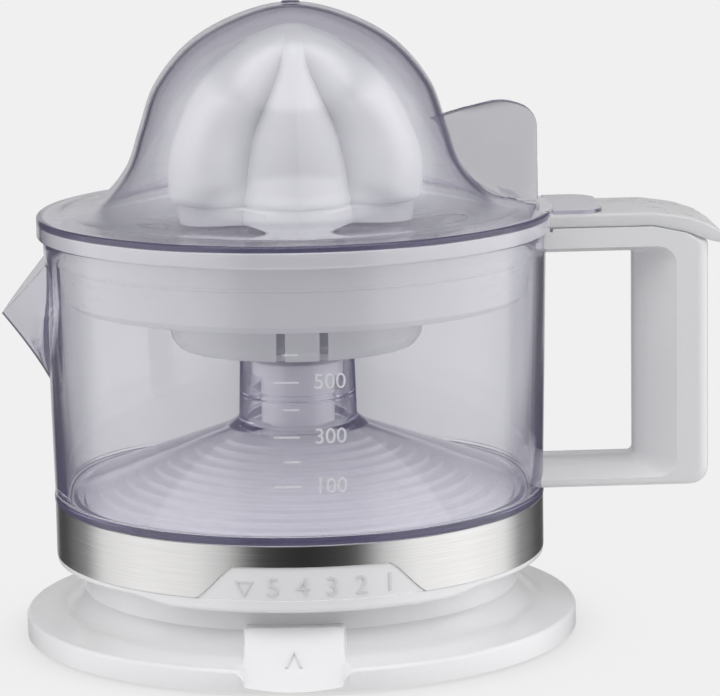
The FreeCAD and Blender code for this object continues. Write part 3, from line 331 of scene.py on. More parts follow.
def metal(name, color, roughness, grain=300.0, strength=0.08):
    material, tree, shader, _ = new_material(name)
    shader.inputs["Base Color"].default_value = (*color, 1)
    shader.inputs["Metallic"].default_value = 1.0
    noise = fine_bump(tree, shader, grain, strength)
    spread = node(tree, "ShaderNodeMapRange", To_Min=roughness * 0.7, To_Max=roughness * 1.4)
    tree.links.new(noise.outputs["Fac"], spread.inputs["Value"])
    tree.links.new(spread.outputs["Result"], shader.inputs["Roughness"])
    return material


def brushed_steel(name):
    """Steel brushed round the axis: fine lines that run with the azimuth."""
    material, tree, shader, _ = new_material(name)
    shader.inputs["Metallic"].default_value = 1.0
    coords = tree.nodes.new("ShaderNodeTexCoord")
    split = tree.nodes.new("ShaderNodeSeparateXYZ")
    tree.links.new(coords.outputs["Object"], split.inputs[0])
    angle = math_node(tree, "ARCTAN2", split.outputs["X"], split.outputs["Y"])
    join = tree.nodes.new("ShaderNodeCombineXYZ")
    tree.links.new(math_node(tree, "MULTIPLY", angle, 2.2), join.inputs["X"])
    tree.links.new(math_node(tree, "MULTIPLY", split.outputs["Z"], 2600.0), join.inputs["Y"])
    lines = node(tree, "ShaderNodeTexNoise", Scale=1.0, Detail=6.0, Roughness=0.7)
    tree.links.new(join.outputs[0], lines.inputs["Vector"])
    tone = node(tree, "ShaderNodeMapRange", To_Min=0.46, To_Max=0.66)
    tree.links.new(lines.outputs["Fac"], tone.inputs["Value"])
    color = tree.nodes.new("ShaderNodeCombineColor")
    for channel, share in (("Red", 1.0), ("Green", 0.99), ("Blue", 0.985)):
        tree.links.new(math_node(tree, "MULTIPLY", tone.outputs["Result"], share), color.inputs[channel])
    tree.links.new(color.outputs[0], shader.inputs["Base Color"])
    around = tree.nodes.new("ShaderNodeTangent")
    around.direction_type = "RADIAL"
    around.axis = "Z"
    tree.links.new(around.outputs[0], shader.inputs["Tangent"])
    shader.inputs["Anisotropic"].default_value = 0.6
    rough = node(tree, "ShaderNodeMapRange", To_Min=0.10, To_Max=0.22)
    tree.links.new(lines.outputs["Fac"], rough.inputs["Value"])
    tree.links.new(rough.outputs["Result"], shader.inputs["Roughness"])
    bump = node(tree, "ShaderNodeBump", Strength=0.12, Distance=0.00008)
    tree.links.new(lines.outputs["Fac"], bump.inputs["Height"])
    tree.links.new(bump.outputs["Normal"], shader.inputs["Normal"])
    return material


MATERIALS = {
    "white": plastic("white", (0.87, 0.87, 0.885), 0.24, coat=0.15),
    "milky": plastic("milky", (0.92, 0.92, 0.93), 0.28, translucent=0.35),
    "clear": clear_plastic("clear", (0.985, 0.985, 0.99), (0.985, 0.985, 0.985), (0.62, 0.58, 0.86), 14.0, 0.035),
    "steel": brushed_steel("steel"),
    # painted shade: the marks are moulded in white; this grey stands in for the shade on their raised edges
    "grey_mark": plastic("grey_mark", (0.62, 0.62, 0.65), 0.4),
    "rubber": plastic("rubber", (0.05, 0.05, 0.05), 0.7, grain=1800.0, grain_strength=0.3),
    "metal": metal("metal", (0.72, 0.72, 0.74), 0.22),
    "motor": metal("motor", (0.5, 0.5, 0.52), 0.4, 700.0, 0.15),
    "copper": metal("copper", (0.72, 0.36, 0.18), 0.35, 1500.0, 0.4),
    "gear": plastic("gear", (0.80, 0.78, 0.70), 0.38),
    "black": plastic("black", (0.035, 0.035, 0.04), 0.45, grain_strength=0.15),
    "bronze": metal("bronze", (0.65, 0.46, 0.24), 0.38, 2200.0, 0.3),
}
SMOKY = clear_plastic("smoky", (0.955, 0.955, 0.965), (0.95, 0.95, 0.95), (0.60, 0.59, 0.70), 22.0, 0.04)
# Painted shade: the raised marks are the panel's white, and this greyer tone stands in for the shade on their raised
# edges.
PAINTED_RELIEF_SHADE = plastic("painted_relief_shade", (0.74, 0.74, 0.77), 0.3)

FROSTED = plastic("frosted", (0.86, 0.86, 0.89), 0.35, translucent=0.3)

for row in frame["record"]["subparts"]:
    shown = frame["nodes"][row["node"]]
    shown.data.materials.clear()
    shown.data.materials.append(MATERIALS[row["material_slot"]])
    smooth(shown)


def dress(obj, body, slot, stands_for, material=None):
    """Gives a finished piece its material, looked up by the slot's name unless one is given, attaches it to its body
    and hides the CAD nodes it stands for.
    """
    obj.data.materials.clear()
    obj.data.materials.append(material or MATERIALS[slot])
    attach(obj, body)
    if stands_for:
        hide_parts(*stands_for)
    return obj


# ---- base --------------------------------------------------------------------------------------
def foot_height(radius, azimuth):
    """Height of the foot's top surface: a dished disc, and the slanted pointer tab across its front."""
    dish = 6.8 + 1.4 * ease(radius, 77.0, 66.0) + 6.0 * ease(radius, 67.5, 59.0) ** 1.5
    dish -= max(0.0, radius - 75.9) ** 2 * 0.8
    across = abs(radius * math.sin(math.radians(azimuth - TAB_AZIMUTH)))
    if abs(azimuth - TAB_AZIMUTH) > 60:
        return dish
    ahead = radius * math.cos(math.radians(azimuth - TAB_AZIMUTH))
    face = 15.0 - (ahead - 64.0) * 1.072
    top = min(15.2, face)
    corner = max(0.0, across - 11.2)
    top -= 0.10 * corner ** 2
    raised = max(0.0, top - dish) * (1 - ease(across, 13.0, 13.7))
    beside = min(1.0, max(0.0, (across - 13.0) / 3.4))
    sunk = max(0.0, dish - face) * (1 - math.sqrt(beside * (2 - beside)))
    return dish + raised - sunk


def make_foot():
    radii = [60.5 + 14.5 * i / 44 for i in range(45)] + [75.0 + 1.98 * i / 10 for i in range(1, 11)]
    azimuths = [-180 + 1.5 * i for i in range(240)]
    fine = [TAB_AZIMUTH - 18 + 0.15 * i for i in range(241)]
    azimuths = sorted([a for a in azimuths if not fine[0] <= a <= fine[-1]] + fine)
    rows = []
    for azimuth in azimuths:
        a = math.radians(azimuth - 90.0)
        top = [(r, max(0.9, foot_height(r, azimuth))) for r in radii]
        loop = [(NECK_R, NECK_TOP)] + top + [(77.0, 0.85), (58.0, 0.85), (58.0, NECK_TOP)]
        rows.append([(r * math.cos(a), r * math.sin(a), z) for r, z in loop])
    n = len(rows[0])
    verts = [p for row in rows for p in row]
    faces = []
    for k in range(len(rows)):
        t = (k + 1) % len(rows)
        faces += [(k * n + i, t * n + i, t * n + (i + 1) % n, k * n + (i + 1) % n) for i in range(n)]
    obj = add_object("foot_shell", verts, faces)
    hood = plate("hood", rounded([(-8.5, 4.0), (8.5, 4.0), (8.5, 15.2, 4.5), (-8.5, 15.2, 4.5)]), 60.0, 75.0)
    softened(hood, 0.8)
    combine(obj, hood, "UNION")
    bore = turned("bore", [(0.0, 0.0), (4.2, 0.0), (4.2, 40.0), (0.0, 40.0)], 48)
    bore.data.transform(Matrix.Rotation(math.radians(-90), 4, "X"))
    bore.data.transform(Matrix.Translation(Vector((0, 50, 9.4)) * MM))
    combine(obj, bore, "DIFFERENCE")
    smooth(obj, 38)
    dress(obj, "base", "white", ["foot"])


def make_cover():
    pitch = (NECK_R - COVER_CROWN_R) / COVER_STEPS
    outline = [(NECK_R, NECK_TOP)]
    for k in range(COVER_STEPS):
        outer, inner = NECK_R - k * pitch, NECK_R - (k + 1) * pitch
        outline += [(outer, cover_z(outer), 0.35), (inner, cover_z(outer), 0.5)]
    outline += [(COVER_CROWN_R, COVER_TOP, 0.5), (8.5, COVER_TOP, 0.8), (8.5, 69.0, 0.5), (6.9, 69.0), (6.9, 51.0),
                (COVER_CROWN_R, 50.4), (58.1, cover_z(58.1) - 3.8), (58.1, NECK_TOP)]
    obj = turned("stepped_cover", rounded(outline, 3))
    smooth(obj, 50)
    dress(obj, "base", "white", ["motor_cover"])


# ---- pulp ring ---------------------------------------------------------------------------------
def make_ring():
    def apron(r, z, azimuth):
        drop = 1.7 * (1 - ease(abs(azimuth), 32.0, 45.0))
        return (r, z - drop) if z < 23.3 else (r, z)

    wall_in = 65.6
    outline = [(wall_in, 21.8, 0.5), (68.0, 21.8, 0.9), (68.0, 23.35, 0.3), (RING_R, 23.4), (RING_R, 38.3, 0.3),
               (wall_in, 38.3, 0.3), (wall_in, 36.6), (61.0, 36.6, 0.4), (61.0, 34.6, 0.4), (62.6, 34.6), (62.6, 27.6),
               (64.2, 27.6), (64.2, 34.6), (wall_in, 34.6)]
    obj = turned("ring_shell", rounded(outline, 3), 360, apron)
    smooth(obj, 40)
    dress(obj, "pulp_ring", "white", ["pulp_ring"])


def band_foot(azimuth):
    """Lower edge of the steel band, which lifts over the white panel."""
    off = abs(azimuth)
    rise = min(1.0, max(0.0, (26.8 - off) / (26.8 - 17.9)))
    softened_rise = ease(rise, 0.0, 1.0) * 0.35 + rise * 0.65
    return BAND[0] + (32.4 - BAND[0]) * softened_rise


def make_band():
    azimuths = [-180 + 1.5 * i for i in range(240)]
    fine = [-30 + 0.25 * i for i in range(241)]
    azimuths = sorted([a for a in azimuths if not -30 <= a <= 30] + fine)
    rows = []
    for azimuth in azimuths:
        low, high, a = band_foot(azimuth), BAND[1], math.radians(azimuth - 90.0)
        loop = [(RING_R, low), (68.0, low), (68.1, low + 0.12), (68.1, high - 0.12), (68.0, high), (RING_R, high)]
        rows.append([(r * math.cos(a), r * math.sin(a), z) for r, z in loop])
    n = len(rows[0])
    verts = [p for row in rows for p in row]
    faces = []
    for k in range(len(rows)):
        t = (k + 1) % len(rows)
        faces += [(k * n + i, t * n + i, t * n + (i + 1) % n, k * n + (i + 1) % n) for i in range(n)]
    obj = add_object("brushed_band", verts, faces)
    smooth(obj, 30)
    dress(obj, "pulp_ring", "steel", ["steel_band"])


def lettered(text, size, azimuth, z, radius, raise_by, weight=0.0):
    """Raised text bent round the axis; radius may change with height."""
    curve = bpy.data.curves.new("text", "FONT")
    curve.body = text
    curve.size = size
    curve.align_x = "CENTER"
    curve.align_y = "CENTER"
    curve.extrude = raise_by
    curve.offset = weight
    curve.resolution_u = 6
    holder = bpy.data.objects.new("text", curve)
    bpy.context.scene.collection.objects.link(holder)
    bpy.context.view_layer.update()
    mesh = bpy.data.meshes.new_from_object(holder.evaluated_get(bpy.context.evaluated_depsgraph_get()))
    bpy.data.objects.remove(holder)
    verts = []
    for v in mesh.vertices:
        r = radius(z + v.co.y) + v.co.z
        a = math.radians(azimuth - 90.0) + v.co.x / r
        verts.append((r * math.cos(a), r * math.sin(a), z + v.co.y))
    return verts, [tuple(p.vertices) for p in mesh.polygons]


def bar_on(radius, x0, x1, z0, z1, azimuth, raise_by):
    """A small raised bar bent round the axis."""
    verts, columns = [], 6
    for i in range(columns + 1):
        x = x0 + (x1 - x0) * i / columns
        for z, lift in ((z0, -raise_by), (z0, raise_by), (z1, raise_by), (z1, -raise_by)):
            r = radius(z) + lift
            a = math.radians(azimuth - 90.0) + x / r
            verts.append((r * math.cos(a), r * math.sin(a), z))
    faces = [(0, 1, 2, 3), tuple(columns * 4 + k for k in range(4))]
    for i in range(columns):
        faces += [(i * 4 + k, i * 4 + (k + 1) % 4, i * 4 + 4 + (k + 1) % 4, i * 4 + 4 + k) for k in range(4)]
    return verts, faces


def gathered(name, shapes):
    verts, faces = [], []
    for v, f in shapes:
        base = len(verts)
        verts += v
        faces += [tuple(base + i for i in face) for face in f]
    return add_object(name, verts, faces)


def arrowhead(half, height, stroke):
    """An open arrowhead in the plane, pointing down, as two strokes."""
    h = height / 2
    return [(-half, h), (0, -h), (half, h), (half - stroke * 1.3, h), (0, -h + stroke * 1.9), (-half + stroke * 1.3, h)]


def make_pulp_marks():
    shapes = []
    for k, text in enumerate("54321"):
        shapes.append(lettered(text, 7.2, -15.4 + 6.65 * (k + 1), 26.9, lambda z: RING_R, 0.3, 0.0))
    # the release mark is an open triangle
    outer = [(-2.6, 2.1), (2.6, 2.1), (0, -2.3)]
    inner = [(-1.75, 1.6), (1.75, 1.6), (0, -1.35)]
    verts, faces = [], []
    for lift in (-0.28, 0.28):
        for x, y in outer + inner:
            r = RING_R + lift
            a = math.radians(-15.4 - 90.0) + x / r
            verts.append((r * math.cos(a), r * math.sin(a), 26.6 + y))
    for i in range(3):
        j = (i + 1) % 3
        faces += [(i, j, 3 + j, 3 + i), (6 + i, 6 + j, 9 + j, 9 + i), (i, j, 6 + j, 6 + i), (3 + i, 3 + j, 9 + j, 9 + i)]
    shapes.append((verts, faces))
    obj = gathered("pulp_numbers", shapes)
    smooth(obj, 30)
    # the marks take the greyer tone, painted shade for their raised edges
    dress(obj, "pulp_ring", "grey_mark", ["pulp_marks"], PAINTED_RELIEF_SHADE)


def make_pointer():
    outline = [(x, -y) for x, y in arrowhead(2.3, 5.2, 0.5)]
    obj = plate("pointer", outline, -0.25, 0.25)
    obj.data.transform(Matrix.Rotation(math.radians(-43.0), 4, "X"))
    obj.data.transform(Matrix.Translation(Vector((0, -70.4, 8.35)) * MM))
    obj.data.transform(Matrix.Rotation(math.radians(TAB_AZIMUTH), 4, "Z"))
    smooth(obj)
    # the pointer takes the greyer tone, painted shade for its raised edges
    dress(obj, "base", "white", ["foot_pointer"], PAINTED_RELIEF_SHADE)


# ---- jug ---------------------------------------------------------------------------------------
def beak_section(z, inset):
    """One level of the spout: a rounded V from the wall out to the nose."""
    share = (z - SPOUT_FOOT[1]) / (SPOUT_TIP[1] - SPOUT_FOOT[1])
    nose = SPOUT_FOOT[0] + (SPOUT_TIP[0] - SPOUT_FOOT[0]) * max(0.0, share) ** 1.25 + inset
    half = max(0.3, 15.0 * min(1.0, max(0.0, share)) ** 0.8 - inset * 0.9)
    root = -66.0 if inset == 0 else -60.0
    points = []
    for i in range(25):
        t = -1 + 2 * i / 24
        x = min(root - 0.2, nose + (root - nose) * abs(t) ** 1.25)
        points.append((x, half * t, z))
    return points + [(root, half, z), (root, -half, z)]


def make_jug():
    def floor_z(r):
        return cover_z(r) + FLOOR_GAP

    start = COVER_CROWN_R + (COVER_TOP + FLOOR_GAP - JUG_LOW[1]) / COVER_SLOPE
    wall_in = JUG_LOW[0] - JUG_WALL
    outline = [(start, JUG_LOW[1], 0.4), (JUG_LOW[0] + 0.25, JUG_LOW[1], 0.35), (JUG_LOW[0] + 0.3, 39.9, 0.3),
               (jug_r(40.6), 40.6, 0.5), (jug_r(107.0), 107.0), (JUG_RIM[0], 108.6), (JUG_RIM[0], JUG_RIM[1], 0.6),
               (JUG_RIM[0] - JUG_WALL - 0.5, JUG_RIM[1], 0.4), (JUG_RIM[0] - JUG_WALL - 0.4, 108.6),
               (wall_in, 40.6, 0.9), (wall_in - 1.5, floor_z(wall_in - 1.5) + FLOOR_RISE - 0.2, 1.2),
               (19.6, floor_z(19.6) + FLOOR_RISE, 2.5), (16.5, 60.0, 2.0), (15.6, 90.3, 0.5), (13.8, 90.3, 0.5),
               (14.55, 67.4), (11.0, 67.4, 0.3), (11.0, 65.8, 0.3), (14.6, 65.8), (14.7, floor_z(14.7) + 0.4, 0.5)]
    obj = turned("jug_body", rounded(outline, 4), 240)
    levels = [SPOUT_FOOT[1] + (SPOUT_TOP - SPOUT_FOOT[1]) * i / 40 for i in range(41)]
    beak = lofted("beak", [beak_section(z, 0.0) for z in levels])
    slope = (SPOUT_TOP - SPOUT_TIP[1]) / (-68.9 - SPOUT_TIP[0])
    lip = plate("lip", [(-100, SPOUT_TIP[1] + slope * (-100 - SPOUT_TIP[0])), (-60, SPOUT_TIP[1] + slope * (-60 - SPOUT_TIP[0])),
                        (-60, 160), (-100, 160)], -40, 40)
    combine(beak, lip, "DIFFERENCE")
    channel = lofted("channel", [beak_section(z, 1.7) for z in [SPOUT_FOOT[1] + 2.2 + (SPOUT_TOP - 0.2 - SPOUT_FOOT[1] - 2.2)
                                                             * i / 40 for i in range(41)]])
    combine(obj, beak, "UNION")
    combine(obj, channel, "DIFFERENCE")
    clean(obj)
    smooth(obj, 28)
    dress(obj, "jug", "clear", ["jug"])


def make_jug_marks():
    shapes = []
    for text, z in (("100", 54.2), ("300", 67.5), ("500", 82.1)):
        shapes.append(lettered(text, 5.8, 4.6, z, jug_r, 0.16))
        shapes.append(bar_on(jug_r, -4.6, 2.2, z - 0.22, z + 0.22, -4.0, 0.16))
    for z in (60.9, 74.8, 89.4):
        shapes.append(bar_on(jug_r, -2.0, 2.2, z - 0.2, z + 0.2, -4.0, 0.14))
    obj = gathered("level_numbers", shapes)
    smooth(obj, 30)
    dress(obj, "jug", "clear", ["jug_marks"], FROSTED)


def opening_loop(y, grow):
    x1, z0, z1 = 93.5 + grow * 10.5, 47.0 - grow * 4.0, 104.8 + grow * 2.7
    turn = 1.2 + 4.0 * grow
    corners = [(55, z0), (x1, z0, turn), (x1, z1, turn), (55, z1)]
    return [(x, y, z) for x, z in rounded(corners, 6)]


def grip_loop(y, inset):
    corners = [(60, 40.2 + inset * 0.5), (113.2 - inset, 40.2 + inset * 0.5, 5.0), (113.2 - inset, 108.5 - inset * 0.1, 1.2),
               (107.1, 111.0, 8.0), (98.0, 113.0, 14.0), (60, 113.0)]
    return [(x, y, z) for x, z in rounded(corners, 6)]


def make_handle():
    edge = [(16.0, 3.4), (15.8, 2.2), (15.3, 1.2), (14.6, 0.55), (13.6, 0.15), (12.4, 0.0)]
    rows = [grip_loop(-y, inset) for y, inset in edge] + [grip_loop(y, inset) for y, inset in reversed(edge)]
    obj = lofted("grip_handle", rows)
    rows = [opening_loop(-17.0, 1.09), opening_loop(-13.0, 0.78), opening_loop(-9.0, 0.36), opening_loop(-5.0, 0.06),
            opening_loop(0.0, 0.0), opening_loop(5.0, 0.06), opening_loop(9.0, 0.36), opening_loop(13.0, 0.78),
            opening_loop(17.0, 1.09)]
    combine(obj, lofted("finger_gap", rows), "DIFFERENCE")
    body = turned("jug_space", [(0, 20), (jug_r(20) + 0.02, 20), (jug_r(112.1) + 0.02, 112.1), (71.8, 112.1), (71.8, 120),
                                (0, 120)], 240)
    combine(obj, body, "DIFFERENCE")
    softened(obj, 0.7, 2, 35)
    smooth(obj, 35)
    weighted(obj)
    dress(obj, "jug", "white", ["handle"])


# ---- strainer ----------------------------------------------------------------------------------
def make_strainer():
    outline = [(69.2, 112.3, 0.3), (69.2, 116.4, 0.4), (67.4, 116.4, 0.4), (67.4, 114.3, 0.4), (64.4, 114.3, 0.8),
               (61.6, 97.0), (59.8, 95.6, 1.5), (34.9, 95.6, 1.2), (32.8, 85.1), (30.4, 82.7, 1.5), (18.2, 82.7, 1.0),
               (18.2, 101.0, 1.0), (16.2, 102.6, 0.8), (6.6, 102.6), (6.6, 101.0), (15.6, 101.0), (16.6, 99.4),
               (16.6, 81.1), (32.6, 81.1, 2.0), (34.6, 84.0, 2.0), (36.5, 94.0, 1.0), (61.8, 94.0, 1.2), (63.4, 95.8, 1.2),
               (64.95, 105.4), (65.35, 105.7), (65.0, 106.1), (66.2, 112.3)]
    obj = turned("strainer_bowl", rounded(outline, 4), 240)
    low = 113.3
    tab_outline = rounded([(66.2, low), (98.0, low, 10.0), (107.1, 111.3, 8.0), (113.2, 108.8), (117.2, 107.9, 0.8),
                           (117.4, 110.6, 1.2), (113.2, 113.4, 10.0), (107.1, 115.5, 10.0), (98.0, 116.9, 14.0),
                           (66.2, 116.9)], 5)
    tab = plate("tab", tab_outline, -16.0, 16.0)
    softened(tab, 0.9, 3)
    space = turned("space", [(0, 100), (67.5, 100), (67.5, 130), (0, 130)], 240)
    combine(tab, space, "DIFFERENCE")
    combine(obj, tab, "UNION")
    first = (9.2 + 2.4) / 2
    for k in range(4):
        for y in (-first, first):
            slot_cut = plate("slot", [(29.0, y - 1.2), (39.0, y - 1.2), (39.0, y + 1.2), (29.0, y + 1.2)], 80.0, 93.0, "z")
            slot_cut.data.transform(Matrix.Rotation(math.radians(90 * k), 4, "Z"))
            combine(obj, slot_cut, "DIFFERENCE")
    smooth(obj, 32)
    dress(obj, "strainer", "milky", ["strainer"])


# ---- cone and shaft ----------------------------------------------------------------------------
LOBES = ((121.6, 36.0, 36.2, 26.4), (126.0, 35.7, 37.4, 25.6), (131.8, 34.8, 37.6, 24.4), (138.5, 33.0, 36.2, 22.0),
         (150.0, 27.4, 30.4, 17.8), (158.0, 20.2, 22.8, 14.6), (162.5, 14.8, 16.8, 13.2), (166.0, 10.6, 11.2, 10.2),
         (168.8, 3.5, 3.6, 3.4))
SKIRT = (36.2, 35.2, 27.4)
CONE_BOTTOM = 113.2
STEP_RISE = 0.9          # the lobes overhang the skirt by a rounded lip
VALLEY = 33.0


def valley_angle(z):
    """From a rib to the flute beside it: the ribs close to a point below the crown."""
    return VALLEY - 21.0 * ease(z, 138.0, 166.0)


def cone_radius(radii, azimuth, fullness, z, round_by=2.4):
    """Radius of the reamer: ridged ribs and full lobes that meet in rounded flutes."""
    rib, lobe, flute = radii
    deep = flute - 0.6 * round_by * min(1.0, (rib - flute) / 6.0)
    off = abs((azimuth + 60.0) % 120.0 - 60.0)
    valley = valley_angle(z)
    way = min(1.0, off / valley)
    ridge = rib - (rib - deep) * (0.38 * way + 0.62 * way ** 2.4)
    share = min(1.0, (60.0 - off) / (60.0 - valley))
    full = lobe - (lobe - deep) * max(0.0, share) ** fullness
    gap = max(0.0, round_by * min(1.0, (rib - flute) / 6.0) * 2 - abs(ridge - full))
    width = max(1e-6, round_by * min(1.0, (rib - flute) / 6.0) * 2)
    return max(ridge, full) + gap * gap / (4 * width)


def make_cone():
    columns = [through([(row[k], row[0]) for row in LOBES], 6) for k in (1, 2, 3)]
    angles = [0.75 * i for i in range(480)]

    def loop_at(radii, z, fullness):
        reach = [cone_radius(radii, a, fullness, z) for a in angles]
        return [(r * math.sin(math.radians(a)), -r * math.cos(math.radians(a)), z) for r, a in zip(reach, angles)]

    rows = []
    for share in (0.0, 0.04, 0.3, 0.6, 0.9):
        loop = []
        for a in angles:
            off = abs((a + 60.0) % 120.0 - 60.0)
            wave = ease(off, 6.0, VALLEY - 4.0) - 0.5 * ease(off, VALLEY + 2.0, 60.0)
            low = CONE_BOTTOM - 0.4 + 1.2 * wave
            r = cone_radius(SKIRT, a, 2.2, low) - (0.25 if share == 0.0 else 0.0)
            loop.append((r * math.sin(math.radians(a)), -r * math.cos(math.radians(a)),
                         low + (LOBES[0][0] - 0.5 - low) * share))
        rows.append(loop)
    under = (LOBES[0][1], LOBES[0][2] - STEP_RISE, LOBES[0][3] - 0.2)
    rows.append(loop_at(under, LOBES[0][0] - 0.35, 2.8))
    for i in range(len(columns[0])):
        rows.append(loop_at([columns[k][i].x for k in range(3)], columns[0][i].y, 3.0))
    rows.append([(0.4 * math.sin(math.radians(a)), -0.4 * math.cos(math.radians(a)), 169.15) for a in angles])
    obj = lofted("reamer", rows)
    hollow = turned("hollow", [(0, 100), (23.0, 100), (23.0, 118.5), (8.4, 140.0), (8.4, 110.0), (0, 110.0)], 96)
    combine(obj, hollow, "DIFFERENCE")
    smooth(obj, 24)
    dress(obj, "cone", "white", ["cone"])


def make_shaft():
    outline = [(9.1, 57.1, 0.3), (10.3, 57.1, 0.3), (10.3, 72.5, 0.6), (12.9, 72.5, 0.4), (12.9, 76.6, 0.6),
               (11.0, 77.2, 0.6), (5.2, 77.2, 0.6), (5.2, 145.0, 0.6), (0, 145.0), (0, 72.0), (9.1, 72.0)]
    obj = turned("shaft_tube", rounded(outline, 4), 96)
    smooth(obj, 35)
    dress(obj, "drive_shaft", "white", ["drive_shaft"])


# ---- lid ---------------------------------------------------------------------------------------
def make_lid():
    outer = through(BELL, 10)
    inner = pushed_in(outer, 1.8)
    nub = [(0.0, 175.75), (2.0, 175.75), (2.4, 175.6), (2.6, 175.3)]
    outer = [Vector(p) for p in nub] + [p for p in outer if p.x > 3.2]
    brim = rounded([(64.0, 118.6), (71.2, 118.2, 0.9), (71.2, 112.4, 0.4), (69.7, 112.4, 0.4), (69.7, 116.4, 0.5),
                    (64.0, 116.5)], 4)[1:-1]
    outline = [tuple(p) for p in outer] + brim + [tuple(p) for p in reversed(inner)]
    obj = turned("bell_lid", outline, 240)
    fin_outline = rounded([(38.0, 142.6), (47.0, 145.2, 14.0), (58.0, 147.6, 14.0), (67.4, 144.4, 7.0), (67.5, 118.9),
                           (60.0, 118.9), (50.0, 124.6), (43.2, 134.0), (40.6, 141.0)], 8)
    fin = plate("fin", fin_outline, -1.5, 1.5)
    softened(fin, 0.5, 2)
    combine(obj, fin, "UNION")
    notch = plate("notch", [(67.3, -16.7), (90, -16.7), (90, 16.7), (67.3, 16.7)], 110.0, 116.8, "z")
    combine(obj, notch, "DIFFERENCE")
    ear_outline = rounded([(70.2, -16.2), (84.3, -16.2, 9.0), (84.3, 16.2, 9.0), (70.2, 16.2)], 8)
    ear = plate("ear", ear_outline, 117.0, 118.05, "z")
    combine(obj, ear, "UNION")
    smooth(obj, 28)
    dress(obj, "lid", "clear", ["lid"], SMOKY)


for make in (make_foot, make_cover, make_ring, make_band, make_pulp_marks, make_pointer, make_jug, make_jug_marks,
             make_handle, make_strainer, make_cone, make_shaft, make_lid):
    make()


# ---- studio ------------------------------------------------------------------------------------
BACKGROUND = 0.871
SHEET = 0.56             # the pale sheet as the clear plastic shows it
SOFTBOX = 1.4            # brightness of the side softboxes
RIGHT_SHARE = 1.12       # the right one is the stronger
HIGH_SHARE = 0.25        # how much brighter they are towards the top
TOP_BOX = 1.7            # of the one above and a little in front
BACK_TOP = 0.12
FLOOR_BOUNCE = 0.65
STUDIO = ((0, 0.02), (22, 0.05), (28, 0.18), (36, 0.6), (52, 0.9), (82, 1.0), (108, 0.85), (122, 0.25), (145, 0.06),
          (180, 0.04))


def studio_light(tree, direction):
    """Brightness of the studio in a direction: a softbox at each side, a pale sheet behind, dark elsewhere."""
    split = tree.nodes.new("ShaderNodeSeparateXYZ")
    tree.links.new(direction, split.inputs[0])
    toward = math_node(tree, "MULTIPLY", split.outputs["Y"], -1.0)
    angle = math_node(tree, "ABSOLUTE", math_node(tree, "ARCTAN2", split.outputs["X"], toward))
    ramp = tree.nodes.new("ShaderNodeValToRGB")
    tree.links.new(math_node(tree, "DIVIDE", angle, math.pi), ramp.inputs["Fac"])
    elements = ramp.color_ramp.elements
    while len(elements) < len(STUDIO):
        elements.new(0.5)
    for element, (degrees, value) in zip(elements, STUDIO):
        element.position = degrees / 180.0
        element.color = (value, value, value, 1)
    right = math_node(tree, "GREATER_THAN", split.outputs["X"], 0.0)
    power = math_node(tree, "MULTIPLY_ADD", right, SOFTBOX * (RIGHT_SHARE - 1.0), SOFTBOX)
    height = split.outputs["Z"]
    lifted = math_node(tree, "MULTIPLY_ADD", math_node(tree, "MAXIMUM", height, 0.0), HIGH_SHARE, 1.0)
    around = math_node(tree, "MULTIPLY", math_node(tree, "MULTIPLY", ramp.outputs["Color"], power), lifted)
    sides = faded(tree, height, 0.62, 0.80, around, BACK_TOP)
    behind = math_node(tree, "MULTIPLY", toward, -1.0)
    sheet = faded(tree, behind, 0.92, 0.96, sides, SHEET)
    front_top = math_node(tree, "ADD", height, math_node(tree, "MULTIPLY", toward, 0.35))
    topped = faded(tree, front_top, 0.80, 0.95, sheet, TOP_BOX)
    return faded(tree, math_node(tree, "MULTIPLY", height, -1.0), 0.30, 0.60, topped, FLOOR_BOUNCE)


def faded(tree, measure, low, high, before, after):
    """One brightness below the low measure and another above the high one."""
    share = node(tree, "ShaderNodeMapRange", From_Min=low, From_Max=high)
    share.interpolation_type = "SMOOTHSTEP"
    tree.links.new(measure, share.inputs["Value"])
    mix = tree.nodes.new("ShaderNodeMix")
    mix.data_type = "FLOAT"
    tree.links.new(share.outputs["Result"], mix.inputs["Factor"])
    tree.links.new(before, mix.inputs["A"])
    mix.inputs["B"].default_value = after
    return mix.outputs["Result"]


def make_world():
    world = bpy.data.worlds.new("studio")
    bpy.context.scene.world = world
    world.use_nodes = True
    tree = world.node_tree
    shader = tree.nodes["Background"]
    coords = tree.nodes.new("ShaderNodeTexCoord")
    light = studio_light(tree, coords.outputs["Generated"])
    rays = tree.nodes.new("ShaderNodeLightPath")
    mix = tree.nodes.new("ShaderNodeMix")
    mix.data_type = "FLOAT"
    tree.links.new(rays.outputs["Is Camera Ray"], mix.inputs["Factor"])
    tree.links.new(light, mix.inputs["A"])
    mix.inputs["B"].default_value = BACKGROUND
    tree.links.new(mix.outputs["Result"], shader.inputs["Strength"])
    shader.inputs["Color"].default_value = (1.0, 1.0, 1.0, 1)


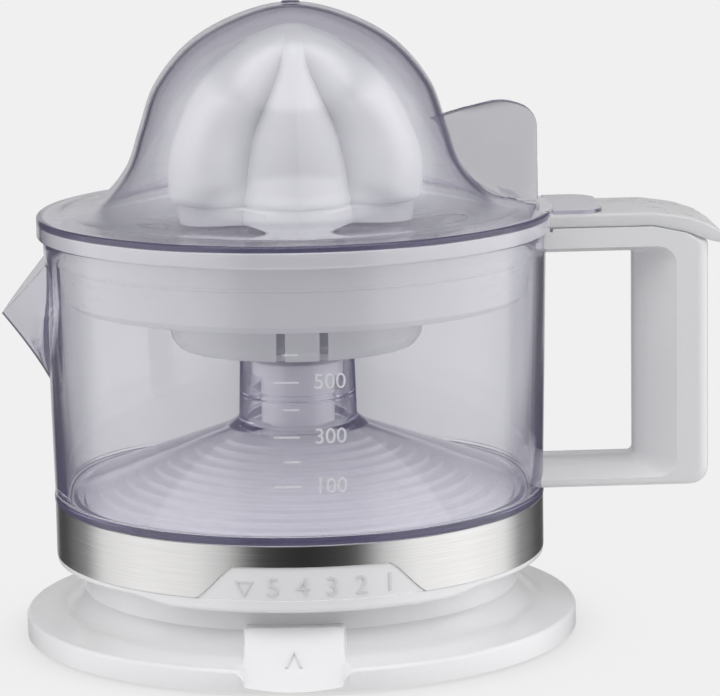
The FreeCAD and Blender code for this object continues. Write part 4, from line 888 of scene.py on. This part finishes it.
def make_floor():
    """A pale floor: evenly lit for the camera with a soft contact shadow, and part of the studio for other rays."""
    obj = plate("floor", [(-20000, -20000), (20000, -20000), (20000, 20000), (-20000, 20000)], -20.0, -0.05, "z")
    material, tree, shader, output = new_material("floor")
    glow = tree.nodes.new("ShaderNodeEmission")
    shade = node(tree, "ShaderNodeAmbientOcclusion", Distance=0.03)
    shade.samples = 12
    soft = node(tree, "ShaderNodeMapRange", From_Min=0.25, From_Max=1.0, To_Min=0.80 * BACKGROUND, To_Max=BACKGROUND)
    tree.links.new(shade.outputs["AO"], soft.inputs["Value"])
    geometry = tree.nodes.new("ShaderNodeNewGeometry")
    flip = tree.nodes.new("ShaderNodeVectorMath")
    flip.operation = "SCALE"
    flip.inputs["Scale"].default_value = -1.0
    tree.links.new(geometry.outputs["Incoming"], flip.inputs[0])
    light = studio_light(tree, flip.outputs[0])
    rays = tree.nodes.new("ShaderNodeLightPath")
    mix = tree.nodes.new("ShaderNodeMix")
    mix.data_type = "FLOAT"
    tree.links.new(rays.outputs["Is Camera Ray"], mix.inputs["Factor"])
    tree.links.new(light, mix.inputs["A"])
    tree.links.new(soft.outputs["Result"], mix.inputs["B"])
    tree.links.new(mix.outputs["Result"], glow.inputs["Strength"])
    tree.links.new(glow.outputs[0], output.inputs["Surface"])
    obj.data.materials.append(material)


def make_camera():
    yaw, pitch, roll = math.radians(3.38), math.radians(10.126), math.radians(-0.924)
    ahead = Vector((math.sin(yaw) * math.cos(pitch), math.cos(yaw) * math.cos(pitch), -math.sin(pitch)))
    right = Vector((math.cos(yaw), -math.sin(yaw), 0))
    up = right.cross(ahead)
    side = right * math.cos(roll) + up * math.sin(roll)
    top = up * math.cos(roll) - right * math.sin(roll)
    data = bpy.data.cameras.new("camera")
    data.lens = 191.445
    data.sensor_width = 36.0
    camera = bpy.data.objects.new("camera", data)
    turn = Matrix((side, top, -ahead)).transposed().to_4x4()
    camera.matrix_world = Matrix.Translation(Vector((-44.3, -1047.6, 265.96)) * MM) @ turn
    bpy.context.scene.collection.objects.link(camera)
    bpy.context.scene.camera = camera


make_world()
make_floor()
make_camera()
scene = bpy.context.scene
scene.view_settings.view_transform = "Standard"
scene.cycles.max_bounces = 20
scene.cycles.transmission_bounces = 20
scene.cycles.transparent_max_bounces = 16
